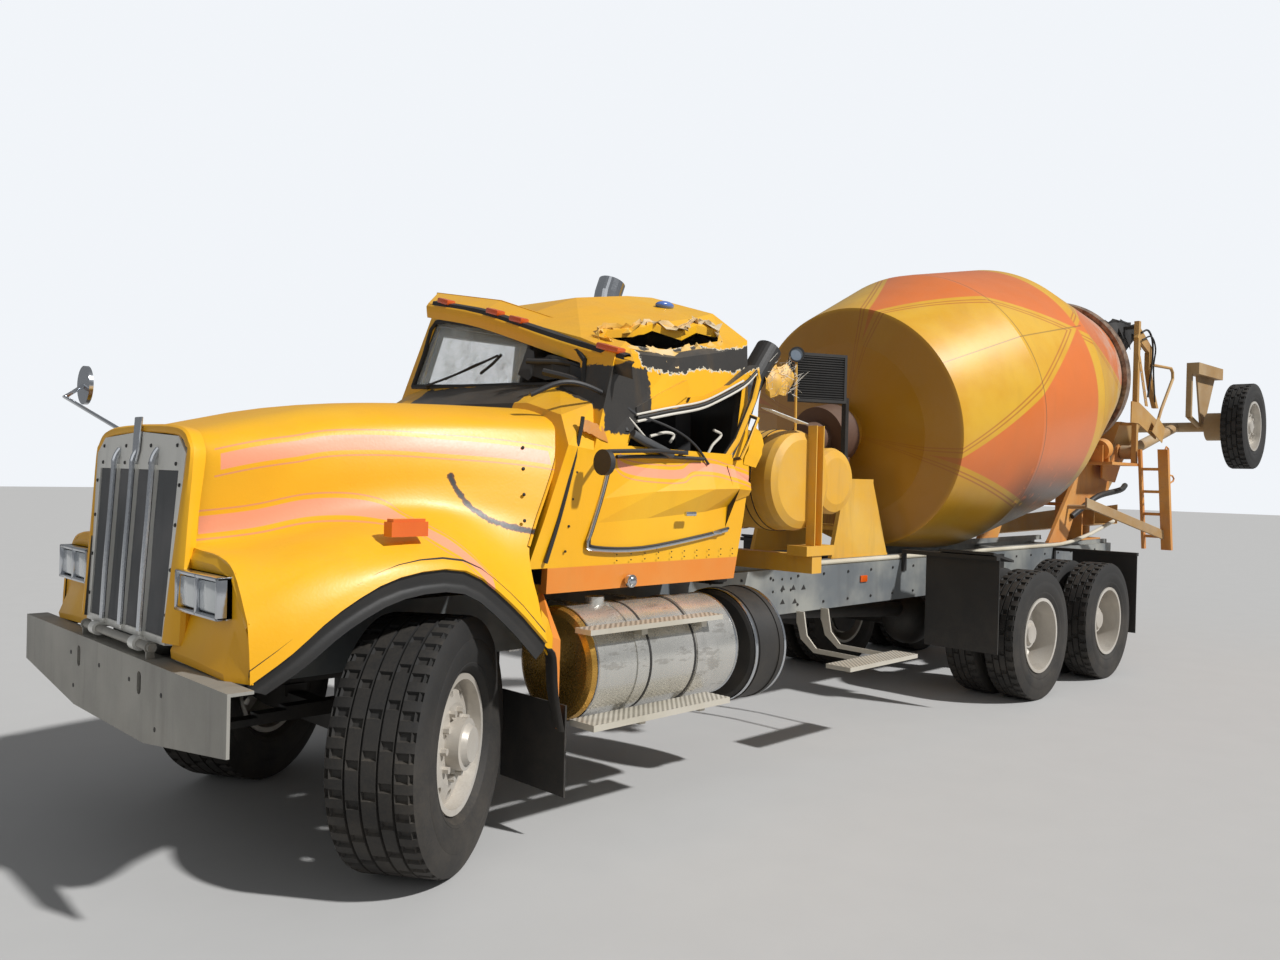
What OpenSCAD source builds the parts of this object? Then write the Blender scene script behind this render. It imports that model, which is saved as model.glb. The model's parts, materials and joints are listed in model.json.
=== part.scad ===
// Concrete mixer truck with a long bonnet, a three-axle chassis and a raised booster axle.
// Millimetres. X points forward, Y to the left, Z up. Stations along X are counted from
// the front axle, and placed() moves them so that the origin is under the middle of the truck.

/* [Chassis] */
// Distance from the front axle to the first rear axle
wheelbase = 5554; // [5300:10:5800]
// Distance between the two rear axles
tandem = 1394; // [1340:2:1440]
// Half the width over the outside of the frame rails
rail_half = 430; // [415:1:440]
// Height of the top of the frame rails
rail_top = 1100; // [1080:1:1120]
// Height of a frame rail's section
rail_depth = 310; // [260:5:330]
// Width of a rail's flange
rail_flange = 90; // [70:1:110]
// Thickness of the rail's steel
rail_wall = 10; // [8:1:14]
// Height of the mixer's own frame on top of the rails
subframe_h = 40; // [30:5:120]
// Rear end of the frame
frame_end = -9050; // [-9150:10:-8950]
// Front end of the frame rails
frame_front = 850; // [800:5:860]

/* [Bumper] */
// Front face of the bumper
bumper_front = 1010; // [980:5:1040]
// Half the bumper's width
bumper_half = 1220; // [1150:5:1250]
// Height of the bumper's top edge
bumper_top = 940; // [920:5:960]
// Depth of the bumper's face in its middle
bumper_mid_h = 325; // [280:5:360]
// Depth of the bumper's face at its ends
bumper_end_h = 225; // [180:5:260]
// Thickness of the bumper's plate
bumper_t = 12; // [8:1:16]
// Distance between the two tow slots
tow_pitch = 760; // [700:10:800]

/* [Front wheels] */
// Radius of a front tyre where it stands
front_r = 550; // [530:5:562]
// Width of a front tyre
front_w = 425; // [385:5:430]
// Distance of a kingpin from the middle of the truck
kingpin_y = 930; // [915:5:945]
// Distance of a front tyre's middle plane inboard of its kingpin
front_inset = 27; // [10:1:45]
// Angle to which the left wheel is turned as the truck stands
steer_left = 35; // [20:1:35]
// Angle to which the right wheel is turned as the truck stands
steer_right = 30; // [18:1:30]

/* [Rear wheels] */
// Radius of a rear tyre where it stands
rear_r = 515; // [500:5:526]
// Width of a rear tyre
rear_w = 275; // [260:1:280]
// Distance between the middle planes of twin tyres
twin_pitch = 333; // [325:1:345]
// Half the width over the rear tyres
rear_half = 1220; // [1200:5:1250]

/* [Rims] */
// Radius of the rim's barrel under the tyre
rim_r = 286; // [280:1:290]
// Height of the rim's flange above its barrel
rim_flange = 13; // [10:1:16]
// Radius of the circle through the wheel studs
stud_circle = 143; // [138:1:148]
// Number of wheel studs
stud_count = 10; // [8:1:10]

/* [Drum] */
// Tilt of the drum's axis
drum_tilt = 10.85; // [10:0.05:12]
// Height of the drum's axis at station -3000
drum_axis_z = 1830; // [1810:5:1860]
// Radius at the front head's rim
head_r = 974; // [950:1:1000]
// Largest radius of the drum
drum_r = 1200; // [1190:1:1230]
// Radius of the track ring
ring_r = 805; // [780:1:820]
// Radius of the drum's mouth
mouth_r = 610; // [560:5:640]
// Thickness of the drum's shell
drum_wall = 8; // [6:1:12]

/* [Cab] */
// Half the width of the cab
cab_half = 980; // [950:5:1000]
// Station of the cab's rear wall at the floor
cab_rear = -1990; // [-2050:5:-1950]
// Height of the cab's underside
cab_floor = 1150; // [1130:5:1180]
// Height of the cab's roof where it is whole
roof_top = 2880; // [2840:5:2900]
// Thickness of the cab's walls
cab_wall = 40; // [30:1:50]
// Clearance between a door and its opening
door_gap = 8; // [5:0.5:10]

/* [Bonnet] */
// Half the width of the grille's surround at the top
grille_half = 530; // [510:5:545]
// Top of the grille
grille_top = 1863; // [1840:1:1880]
// Bottom of the grille
grille_bottom = 1000; // [980:5:1020]
// Thickness of the bonnet's skin
skin = 16; // [12:1:20]

// Station of the pipe on which the bonnet tilts
hood_pivot_x = 975; // [960:1:985]
// Height of that pipe
hood_pivot_z = 985; // [980:1:995]
// Radius of that pipe
hood_pipe_r = 18; // [14:1:20]

/* [Tanks] */
// Radius of a fuel tank
fuel_r = 280; // [260:5:295]
// Length of a fuel tank
fuel_len = 1100; // [1000:10:1150]
// Radius of the water tank
water_r = 310; // [290:5:325]

/* [Booster axle] */
// Distance of the booster's lift pivot behind the frame's end
lift_back = 60; // [40:5:80]
// Height of the booster's lift pivot
lift_z = 2090; // [2060:5:2110]
// Station of the booster's axle when raised
booster_x = -11430; // [-11480:5:-11380]
// Height of the booster's axle when raised
booster_z = 2480; // [2450:5:2500]
// Half the width over the booster's tyres
booster_half = 1215; // [1190:5:1230]

/* [Hidden] */
seat_gap = 0.3;
lift_x = frame_end - lift_back;
lift_y = 560;
lift_pin_r = 30;
run_gap = 0.3;
$fn = 64;

rail_bottom = rail_top - rail_depth;
sub_top = rail_top + subframe_h;
hub_in = 40;
hub_out = 210;
brake_in = 250;
rear_axles_x = [-wheelbase, -wheelbase - tandem];
kingpin_r = 22;
spindle_r = 42;
rim_w_front = 335;
rim_w_rear = 235;
flange_t = 10;
sub_front = -2250;
sub_in = 345;
sub_out = 385;

// A point on the drum's axis, at a distance s behind station -3000
function on_axis(s) = [-3000 - s * cos(drum_tilt), 0, drum_axis_z + s * sin(drum_tilt)];

// Half outline of a tyre's section: columns are the radius and the distance from its middle plane
function tyre_side(r, w, rim_w) = [
    [rim_r + seat_gap, rim_w / 2 - flange_t - seat_gap],
    [rim_r + rim_flange + 2, rim_w / 2 - flange_t - seat_gap],
    [rim_r + 45, w * 0.45],
    [rim_r + 0.42 * (r - rim_r), w * 0.5],
    [rim_r + 0.66 * (r - rim_r), w * 0.485],
    [r - 26, w * 0.452],
    [r - 6, w * 0.425],
    [r, w * 0.38]
];

// How far a turned front tyre reaches sideways from its kingpin
function reach(angle) = max([for (p = tyre_side(front_r, front_w, rim_w_front))
    p[0] * sin(angle) + (p[1] - front_inset) * cos(angle)]);

origin_x = (bumper_front + booster_x - rear_r) / 2;
origin_y = (reach(steer_left) - reach(steer_right)) / 2;

// Moves a piece from its place by the front axle to the truck's own origin
module placed() {
    translate([-origin_x, -origin_y, 0]) children();
}

// Draws its children and their mirror image on the other side
module both_sides() {
    children();
    mirror([0, 1, 0]) children();
}

// A block between two corners
module block(low, high) {
    translate(low) cube(high - low);
}

// A plate whose outline is drawn in X and Z, from y0 to y1
module side_plate(points, y0, y1) {
    translate([0, y1, 0]) rotate([90, 0, 0]) linear_extrude(y1 - y0) polygon(points);
}

// A plate whose outline is drawn in Y and Z, from x0 to x1
module cross_plate(points, x0, x1) {
    translate([x0, 0, 0]) rotate([90, 0, 90]) linear_extrude(x1 - x0) polygon(points);
}

// A cylinder along Y from y0 to y1
module bar_y(r, x, z, y0, y1) {
    translate([x, y1, z]) rotate([90, 0, 0]) cylinder(r = r, h = y1 - y0);
}

// A cylinder along X from x0 to x1
module bar_x(r, y, z, x0, x1) {
    translate([x0, y, z]) rotate([0, 90, 0]) cylinder(r = r, h = x1 - x0);
}

// A round bar between two points
module rod(a, b, r) {
    d = b - a;
    flat = norm([d[0], d[1]]);
    translate(a) rotate([0, atan2(flat, d[2]), atan2(d[1], d[0])]) cylinder(r = r, h = norm(d));
}

// The rings of a tube of n sides through several points; ref is a direction that no run of it has
function tube_rings(points, r, n, ref) = [for (i = [0:len(points) - 1]) let (
    back = i > 0 ? points[i] - points[i - 1] : [0, 0, 0],
    ahead = i < len(points) - 1 ? points[i + 1] - points[i] : [0, 0, 0],
    t = back / max(norm(back), 1) + ahead / max(norm(ahead), 1),
    u = cross(t, ref) / norm(cross(t, ref)),
    v = cross(u, t) / norm(cross(u, t)))
    [for (k = [0:n - 1]) points[i] + r * (cos(360 * k / n) * u + sin(360 * k / n) * v)]];

// A bent tube through several points
module bent_rod(points, r, ref = [0.3, 0.5, 0.8], n = 12)
    loft(tube_rings(points, r, n, ref), points[1] - points[0]);

// The sum of a ring's cross products, which points along the ring's normal
function ring_normal(ring, i = 1) = i >= len(ring) - 1 ? [0, 0, 0] :
    cross(ring[i] - ring[0], ring[i + 1] - ring[0]) + ring_normal(ring, i + 1);

// A closed solid through rings of points, each ring with as many points and the end rings flat
module loft(rings, heading = undef) {
    n = len(rings[0]);
    m = len(rings);
    along = is_undef(heading) ? rings[m - 1][0] - rings[0][0] : heading;
    ordered = ring_normal(rings[0]) * along > 0
        ? [for (ring = rings) [for (i = [n - 1:-1:0]) ring[i]]] : rings;
    polyhedron(
        points = [for (ring = ordered) each ring],
        faces = concat(
            [[for (i = [n - 1:-1:0]) i]],
            [for (k = [0:m - 2], i = [0:n - 1]) let (j = (i + 1) % n) [k * n + i, k * n + j, (k + 1) * n + j]],
            [for (k = [0:m - 2], i = [0:n - 1]) let (j = (i + 1) % n) [k * n + i, (k + 1) * n + j, (k + 1) * n + i]],
            [[for (i = [0:n - 1]) (m - 1) * n + i]]
        ),
        convexity = 8
    );
}

// Places a wheel's own shapes, drawn round Z with its outer face up, on an axle along Y
module on_axle(x, y, z, turn = 0, side = 1) {
    translate([x, y, z]) rotate([0, 0, turn]) rotate([-90 * side, 0, 0]) children();
}

// A tyre round Z, its middle plane at height zero
module tyre(r, w, rim_w) {
    side = tyre_side(r, w, rim_w);
    mirrored = [for (i = [len(side) - 1:-1:0]) [side[i][0], -side[i][1]]];
    rotate_extrude($fn = 96) polygon(concat(side, mirrored));
}

// A rim's barrel and flanges round Z, with a disc at height disc_z that meets the barrel at bowl_z
module rim_shell(w, disc_z, bowl_z) {
    flange_r = rim_r + rim_flange;
    barrel_in = rim_r - 12;
    hole_r = (stud_circle + barrel_in) / 2 + 12;
    difference() {
        union() {
            rotate_extrude($fn = 96) polygon([
                [barrel_in, -w / 2], [flange_r, -w / 2], [flange_r, -w / 2 + flange_t], [rim_r, -w / 2 + flange_t],
                [rim_r, w / 2 - flange_t], [flange_r, w / 2 - flange_t], [flange_r, w / 2], [barrel_in, w / 2]
            ]);
            rotate_extrude($fn = 96) polygon([
                [110, disc_z - 8], [stud_circle + 30, disc_z - 8], [barrel_in + 1, bowl_z - 8],
                [barrel_in + 1, bowl_z + 8], [stud_circle + 30, disc_z + 8], [110, disc_z + 8]
            ]);
        }
        for (i = [0:9]) rotate([0, 0, (i + 0.5) * 36])
            translate([hole_r, 0, min(disc_z, bowl_z) - 40]) cylinder(r = 24, h = abs(disc_z - bowl_z) + 80, $fn = 24);
    }
}

// A rim with its hub from hub_low to hub_high and its wheel nuts
module rim(w, disc_z, bowl_z, hub_low, hub_high, bore) {
    rim_shell(w, disc_z, bowl_z);
    difference() {
        union() {
            translate([0, 0, hub_low]) cylinder(r = 111, h = hub_high - 25 - hub_low);
            translate([0, 0, hub_high - 26]) cylinder(r1 = 88, r2 = 74, h = 26);
        }
        translate([0, 0, hub_low - 1]) cylinder(r = bore, h = hub_high - 40 - hub_low);
    }
    wheel_nuts(disc_z + 7);
}

// The ring of wheel nuts on a disc whose outer face is near height z
module wheel_nuts(z) for (i = [0:stud_count - 1]) rotate([0, 0, i * 360 / stud_count])
    translate([stud_circle, 0, z]) cylinder(r = 16, h = 27, $fn = 6);

module frame_rails() placed() color([0.16, 0.17, 0.18]) {
    cross_x = [700, -1950, -3550, -4700, -6251, -7650, -8950];
    difference() {
        union() {
            both_sides() {
                difference() {
                    block([frame_end, rail_half - rail_flange, rail_bottom], [frame_front, rail_half, rail_top]);
                    block([frame_end - 1, rail_half - rail_flange - 1, rail_bottom + rail_wall],
                        [frame_front + 1, rail_half - rail_wall, rail_top - rail_wall]);
                }
                block([frame_end, sub_in, rail_top], [sub_front, sub_out, sub_top]);
                // Cab mounts
                for (x = [-860, -2040])
                    block([x - 40, rail_half - 80, rail_top - 1], [x + 40, rail_half, cab_floor - seat_gap]);
            }
            for (x = cross_x)
                block([x - 60, -rail_half + rail_wall, rail_bottom + 150], [x + 60, rail_half - rail_wall, rail_top - 40]);
        }
        // Bolt holes in the web behind the cab
        for (x = [-3050, -3150, -3250], z = [rail_top - 70, rail_top - 150])
            bar_y(11, x, z, rail_half - rail_wall - 5, rail_half + 5);
    }
}

tow_r = 22;
module bumper() placed() color([0.55, 0.55, 0.52]) {
    face = [
        [-bumper_half, bumper_top - bumper_end_h], [-tow_pitch / 2 - 60, bumper_top - bumper_mid_h],
        [tow_pitch / 2 + 60, bumper_top - bumper_mid_h], [bumper_half, bumper_top - bumper_end_h],
        [bumper_half, bumper_top], [-bumper_half, bumper_top]
    ];
    difference() {
        union() {
            cross_plate(face, bumper_front - bumper_t, bumper_front);
            block([bumper_front - 95, -bumper_half, bumper_top - bumper_t], [bumper_front, bumper_half, bumper_top]);
            both_sides() {
                // Horn from the frame to the bumper's face, open towards the middle
                difference() {
                    block([frame_front + seat_gap, rail_half - rail_flange, rail_bottom],
                        [bumper_front - bumper_t + 1, rail_half, bumper_top - bumper_t + 1]);
                    block([frame_front, rail_half - rail_flange - 1, rail_bottom + rail_wall],
                        [bumper_front - bumper_t, rail_half - rail_wall, bumper_top - bumper_t - rail_wall]);
                }
                // Ear that carries the bonnet's pivot pipe
                block([hood_pivot_x - 16, rail_half - 40, bumper_top - 20], [hood_pivot_x + 16, rail_half - 28, hood_pivot_z]);
                bar_y(hood_pipe_r + 6, hood_pivot_x, hood_pivot_z, rail_half - 40, rail_half - 28);
            }
            bar_y(hood_pipe_r, hood_pivot_x, hood_pivot_z, -rail_half + 10, rail_half - 10);
        }
        // Tow slots with round ends
        both_sides() {
            for (z = [bumper_top - 120, bumper_top - 70])
                bar_x(tow_r, tow_pitch / 2, z, bumper_front - bumper_t - 1, bumper_front + 1);
            block([bumper_front - bumper_t - 1, tow_pitch / 2 - tow_r, bumper_top - 120],
                [bumper_front + 1, tow_pitch / 2 + tow_r, bumper_top - 70]);
        }
    }
}

module engine_block() placed() color([0.2, 0.2, 0.2]) {
    block([-640, -300, 760], [620, 300, 1640]);
    both_sides() block([-200, 299, 1000], [-100, rail_half - rail_wall - seat_gap, 1060]);
}

module front_axle() placed() color([0.12, 0.12, 0.12]) {
    spring_y = 355;
    beam_half = kingpin_y - 40;
    difference() {
        union() {
            block([-45, -560, 455], [45, 560, 560]);
            both_sides() {
                loft([
                    [[-45, 559, 455], [45, 559, 455], [45, 559, 560], [-45, 559, 560]],
                    [[-40, beam_half, front_r - 60], [40, beam_half, front_r - 60],
                     [40, beam_half, front_r + 60], [-40, beam_half, front_r + 60]]
                ]);
                translate([0, kingpin_y, front_r - 75]) cylinder(r = 55, h = 150);
                block([-60, spring_y - 50, 540], [60, spring_y + 37, 600]);
                for (i = [0:3])
                    block([-780 + i * 130, spring_y - 37, 600 + i * 15], [780 - i * 130, spring_y + 37, 616 + i * 15]);
                for (x = [-740, 740])
                    block([x - 40, spring_y - 37, 600], [x + 40, spring_y + 37, rail_bottom - seat_gap]);
            }
        }
        both_sides() translate([0, kingpin_y, front_r - 80]) cylinder(r = kingpin_r + run_gap, h = 160);
    }
}

// A steering knuckle, drawn on the left side and not turned
module knuckle() {
    translate([0, 0, 0]) {
        cylinder(r = kingpin_r, h = 230, center = true);
        for (z = [75 + run_gap, -115 - run_gap]) translate([0, 0, z]) cylinder(r = 50, h = 40);
        difference() {
            block([-45, 0, -115 - run_gap], [45, 78, 115 + run_gap]);
            translate([0, 0, -75 - run_gap]) cylinder(r = 55 + 6, h = 150 + 2 * run_gap);
        }
        bar_y(200, 0, 0, 62, 78);
        bar_y(spindle_r, 0, 0, 70, 150);
    }
}

module knuckle_left() placed() color([0.2, 0.2, 0.2])
    translate([0, kingpin_y, front_r]) rotate([0, 0, steer_left]) knuckle();

module knuckle_right() placed() color([0.2, 0.2, 0.2])
    translate([0, -kingpin_y, front_r]) rotate([0, 0, steer_right]) mirror([0, 1, 0]) knuckle();

// Places a front wheel, drawn round Z with its middle plane at zero, on its turned kingpin
module front_wheel_place(side) {
    turn = side > 0 ? steer_left : steer_right;
    translate([0, side * kingpin_y, front_r]) rotate([0, 0, turn]) translate([0, -side * front_inset, 0])
        rotate([-90 * side, 0, 0]) children();
}

module front_tyre(side) placed() color([0.08, 0.08, 0.08]) front_wheel_place(side)
    tyre(front_r, front_w, rim_w_front);

module front_rim(side) placed() color([0.75, 0.75, 0.72])
    front_wheel_place(side) rim(rim_w_front, 130, 90, 110, 225, spindle_r + run_gap);

// Places a twin wheel's shapes on rear axle i (0 or 1); its outer tyre is up
module rear_place(i, side) {
    translate([rear_axles_x[i], side * (rear_half - rear_w / 2 - twin_pitch / 2), rear_r])
        rotate([-90 * side, 0, 0]) children();
}

module rear_tyres(i, side) placed() color([0.08, 0.08, 0.08]) rear_place(i, side)
    for (k = [-0.5, 0.5]) translate([0, 0, k * twin_pitch]) tyre(rear_r, rear_w, rim_w_rear);

module rear_rims(i, side) placed() color([0.72, 0.72, 0.7]) rear_place(i, side) {
    half = twin_pitch / 2;
    for (m = [0, 1]) mirror([0, 0, m]) translate([0, 0, half])
        rim_shell(rim_w_rear, 8 - half, -80);
    wheel_nuts(15);
    difference() {
        union() {
            translate([0, 0, -hub_in]) cylinder(r = 111, h = hub_in + hub_out - 25);
            translate([0, 0, hub_out - 26]) cylinder(r1 = 88, r2 = 74, h = 26);
            translate([0, 0, -hub_in]) cylinder(r = 175, h = 26);
            translate([0, 0, -brake_in]) cylinder(r = 210, h = brake_in - hub_in + 1);
        }
        translate([0, 0, -brake_in - 1]) cylinder(r = 195, h = brake_in - hub_in - 14);
        translate([0, 0, -brake_in]) cylinder(r = spindle_r + run_gap, h = brake_in + hub_out - 40);
    }
}

module rear_drive_line() placed() color([0.13, 0.13, 0.13]) {
    for (x = rear_axles_x) {
        bar_y(75, x, rear_r, -720, 720);
        translate([x, 0, rear_r]) sphere(r = 220);
        bar_y(spindle_r, x, rear_r, -1066, 1066);
        bar_y(200, x, rear_r, 640, 655);
        bar_y(200, x, rear_r, -655, -640);
    }
    both_sides() {
        block([rear_axles_x[1] - 60, 440, 560], [rear_axles_x[0] + 60, 560, 640]);
        block([(rear_axles_x[0] + rear_axles_x[1]) / 2 - 120, 440 - 1, 600],
            [(rear_axles_x[0] + rear_axles_x[1]) / 2 + 120, 560, rail_bottom + 150]);
        block([(rear_axles_x[0] + rear_axles_x[1]) / 2 - 200, rail_half + seat_gap, rail_bottom + 40],
            [(rear_axles_x[0] + rear_axles_x[1]) / 2 + 200, 450, rail_top - 20]);
    }
    rod([-1500, 0, 880], [rear_axles_x[0] + 150, 0, rear_r + 90], 60);
    rod([rear_axles_x[0], 0, rear_r + 80], [rear_axles_x[1], 0, rear_r + 80], 50);
    translate([-1520, 0, 880]) rotate([0, 90, 0]) cylinder(r = 160, h = 617);
}

// A tank along X with rounded ends
module x_tank(r, y, z, x0, x1, edge) {
    translate([x0, y, z]) rotate([0, 90, 0]) rotate_extrude($fn = 96) polygon([
        [0, 0], [r - edge, 0], [r - edge * 0.3, edge * 0.3], [r, edge],
        [r, x1 - x0 - edge], [r - edge * 0.3, x1 - x0 - edge * 0.3], [r - edge, x1 - x0], [0, x1 - x0]
    ]);
}

fuel_front = -750;
fuel_y = 865;
fuel_z = 790;
strap_t = 6;
module fuel_tanks() placed() color([0.7, 0.7, 0.68]) both_sides() {
    x_tank(fuel_r, fuel_y, fuel_z, fuel_front - fuel_len, fuel_front, 40);
    for (x = [fuel_front - fuel_len * 0.3, fuel_front - fuel_len * 0.7]) {
        difference() {
            bar_x(fuel_r + 6, fuel_y, fuel_z, x - 30, x + 30);
            bar_x(fuel_r - 5, fuel_y, fuel_z, x - 31, x + 31);
        }
        block([x - 40, rail_half + seat_gap, fuel_z - 200], [x + 40, fuel_y - fuel_r + 30, rail_top - 60]);
    }
    translate([fuel_front - 260, fuel_y, fuel_z + fuel_r - 20]) cylinder(r = 50, h = 55);
}

module side_steps() placed() color([0.75, 0.75, 0.74]) {
    both_sides() {
        // Lower and upper tread over the fuel tank, each on two brackets that fit round the tank's straps
        block([-1660, 1060, 535], [-690, 1230, 565]);
        block([-1630, 1085, 975], [-690, 1195, 1000]);
        for (x = [fuel_front - fuel_len * 0.3, fuel_front - fuel_len * 0.7]) difference() {
            union() {
                block([x - 20, 960, 500], [x + 20, 1160, 536]);
                block([x - 20, 960, 940], [x + 20, 1160, 976]);
            }
            bar_x(fuel_r + strap_t + seat_gap, fuel_y, fuel_z, x - 31, x + 31);
        }
    }
    // Low step behind the cab, on two bent arms
    block([-3650, 1010, 545], [-2850, 1190, 572]);
    for (x = [-3330, -3620])
        side_step_arm(x);
}

module side_step_arm(x) {
    cross_plate([[rail_half + seat_gap, rail_bottom + 10], [rail_half + 60, rail_bottom + 10], [rail_half + 90, 640],
        [rail_half + 170, 560], [1100, 548], [1100, 520], [rail_half + 150, 528], [rail_half + 40, 610],
        [rail_half + 12, 700], [rail_half + seat_gap, 720]], x - 6, x + 6);
}

module round_tank() placed() color([0.12, 0.12, 0.12]) {
    tank_y = 800;
    tank_z = 750;
    x_tank(325, tank_y, tank_z, -2290, -1990, 30);
    for (x = [-2230, -2050]) difference() {
        bar_x(331, tank_y, tank_z, x - 15, x + 15);
        bar_x(320, tank_y, tank_z, x - 16, x + 16);
    }
    block([-2200, rail_half + seat_gap, 700], [-2080, tank_y - 300, 900]);
}

// Columns are the flap's station, its lower edge, the height of its carrier's top and the
// carrier's rear and front reach from that station
flap_rows = [
    [-wheelbase + rear_r + 285, 450, rail_top + 80, 6, 54],
    [-wheelbase - tandem - rear_r - 101, 350, rail_top, 36, 14]
];
flap_in = 620;
splash_end = -640;
flap_t = 12;
module mud_flaps() placed() color([0.1, 0.1, 0.1]) both_sides() {
    for (f = flap_rows) {
        x0 = f[0] - f[3];
        x1 = f[0] + f[4];
        block([f[0] - flap_t / 2, flap_in, f[1]], [f[0] + flap_t / 2, rear_half, f[2] - 29]);
        block([x0, rail_half + 11, f[2] - 30], [x1, rear_half, f[2]]);
        block([x0, rail_half + seat_gap, f[2] - 170], [x1, rail_half + 12, f[2]]);
    }
    // Board over the first tyre's front, on the flap's carrier
    let (x = flap_rows[0][0], z = flap_rows[0][2])
        side_plate([[x + 64, z + 30], [x - 276, z - 40], [x - 276, z - 58], [x + 64, z + 10]], 760, 1200);
    // Flap behind the front wheel, on the end of the splash guard
    block([splash_end - 10, 600, 210], [splash_end - seat_gap, 1085, 640]);
}

// Cab sections from front to rear; each leans back with height. Columns are the station at the floor,
// the lean, the heights of the right eave and of the roof's middle and left slope, the left eave's
// reach and height, and the height of the crushed left belt
cab_sections = [
    [-445, 0.372, 2050, 2090, 2080, 860, 2010, 1860],
    [-640, 0.34, 2190, 2220, 2180, 880, 2080, 1840],
    [-690, 0.30, 2740, 2600, 2440, 940, 2340, 1830],
    [-1400, 0.12, 2770, 2790, 2570, 900, 2360, 1810],
    [-1820, 0.12, 2770, 2860, 2660, 880, 2440, 1770],
    [cab_rear, 0.15, 2750, roof_top, 2720, 850, 2530, 1720]
];
// How far the inner face of each section is behind the outer one
cab_inner_shift = [-60, -30, -30, 0, 0, 40];

// One ring of the cab, shrunk by t on every side and moved by dx
function cab_ring(s, t, dx) = let (w = cab_half - t) [for (p = [
    [-w + 20, cab_floor + t], [-w, 1500], [-w, 2020 - t / 4],
    [-w + 100, s[2] - t], [-w + 250, s[2] + 30 - t], [0, s[3] - t], [s[5] - 300, s[4] - t],
    [s[5] - t, s[6] - t], [w + 5, s[7] - t / 4], [w, 1500], [w - 20, cab_floor + t]
]) [s[0] + dx - s[1] * (p[1] - cab_floor), p[0], p[1]]];

module cab_solid(t) loft([for (i = [0:5]) cab_ring(cab_sections[i], t, cab_inner_shift[i] * t / cab_wall)]);

// The openings for the doors and their windows, drawn in X and Z
belt = 2030;
left_door_outline = [[-830, 1400], [-860, 1366], [-1213, 1354], [-1673, 1404], [-1880, 1440], [-1925, 1790],
    [-1000, 1815]];
left_window_outline = [[-1110, 1870], [-1190, 2000], [-1420, 2050], [-1660, 2095], [-1810, 2145], [-2040, 2245],
    [-2100, 2240], [-1960, 1850]];
right_door_outline = [[-850, 1320], [-850, 1700], [-1040, belt], [-1180, 2640], [-1900, 2640], [-1900, 1320]];
right_window_outline = [[-1090, belt + 20], [-1220, 2580], [-1840, 2580], [-1840, belt + 20]];
// The windscreen and the rear window, drawn in Y and Z
windscreen_outline = [[-860, 2240], [-800, 2660], [0, 2540], [650, 2370], [760, 2180]];
rear_window_outline = [[-600, 2150], [-600, 2560], [600, 2480], [600, 2150]];
// The torn hole in the roof's left slope, drawn in X and Y
tear_outline = [[-1180, 700], [-1250, 850], [-1500, 830], [-1750, 810], [-2000, 790], [-2120, 700], [-1980, 640],
    [-1800, 690], [-1650, 600], [-1450, 650], [-1300, 600]];

// The crushed header over the left window, in two buckled lengths drawn in X and Z
header_front = [[-1190, 2000], [-1190, 2070], [-1380, 2160], [-1570, 2240], [-1600, 2170], [-1460, 2085],
    [-1450, 2056], [-1420, 2050]];
header_rear = [[-1420, 2050], [-1580, 2120], [-1600, 2150], [-1740, 2170], [-1920, 2240], [-2080, 2330],
    [-2180, 2380], [-2190, 2340], [-2040, 2245], [-1810, 2145], [-1660, 2095]];
// The bent pillar behind the left window and the grab bar on it
pillar_route = [[-2110, 945, 2300], [-2160, 950, 2345], [-2170, 955, 2290], [-2130, 955, 2170], [-1990, 955, 1930],
    [-1905, 950, 1835]];
grab_route = [[-2085, 950, 2085], [-2100, 1020, 2060], [-2030, 1020, 1940], [-1960, 1020, 1830], [-1955, 965, 1822]];

// Sun visor over the windscreen. Columns are the reach and height of its front edge and of its rear edge
visor_rows = [[-770, 2760, -980, 2880], [-220, 2650, -300, 2760], [500, 2440, 260, 2590], [1070, 2285, 820, 2410]];
visor_front = -1050;
visor_back = -1262;
visor_t = 12;
// Depth of the flange that stands the visor on the roof
visor_flange = 90;
module visor() {
    loft([for (r = visor_rows) [[visor_front, r[0], r[1] - visor_t], [visor_front, r[0], r[1]],
        [visor_back, r[2], r[3]], [visor_back, r[2], r[3] - visor_t]]]);
    loft([for (r = visor_rows) [[visor_back, r[2], r[3] - 1], [visor_back, r[2], r[3] - visor_flange],
        [visor_back + visor_t, r[2], r[3] - visor_flange], [visor_back + visor_t, r[2], r[3] - 1]]]);
}

module windscreen_cut() cross_plate(windscreen_outline, -1350, -850);

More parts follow.
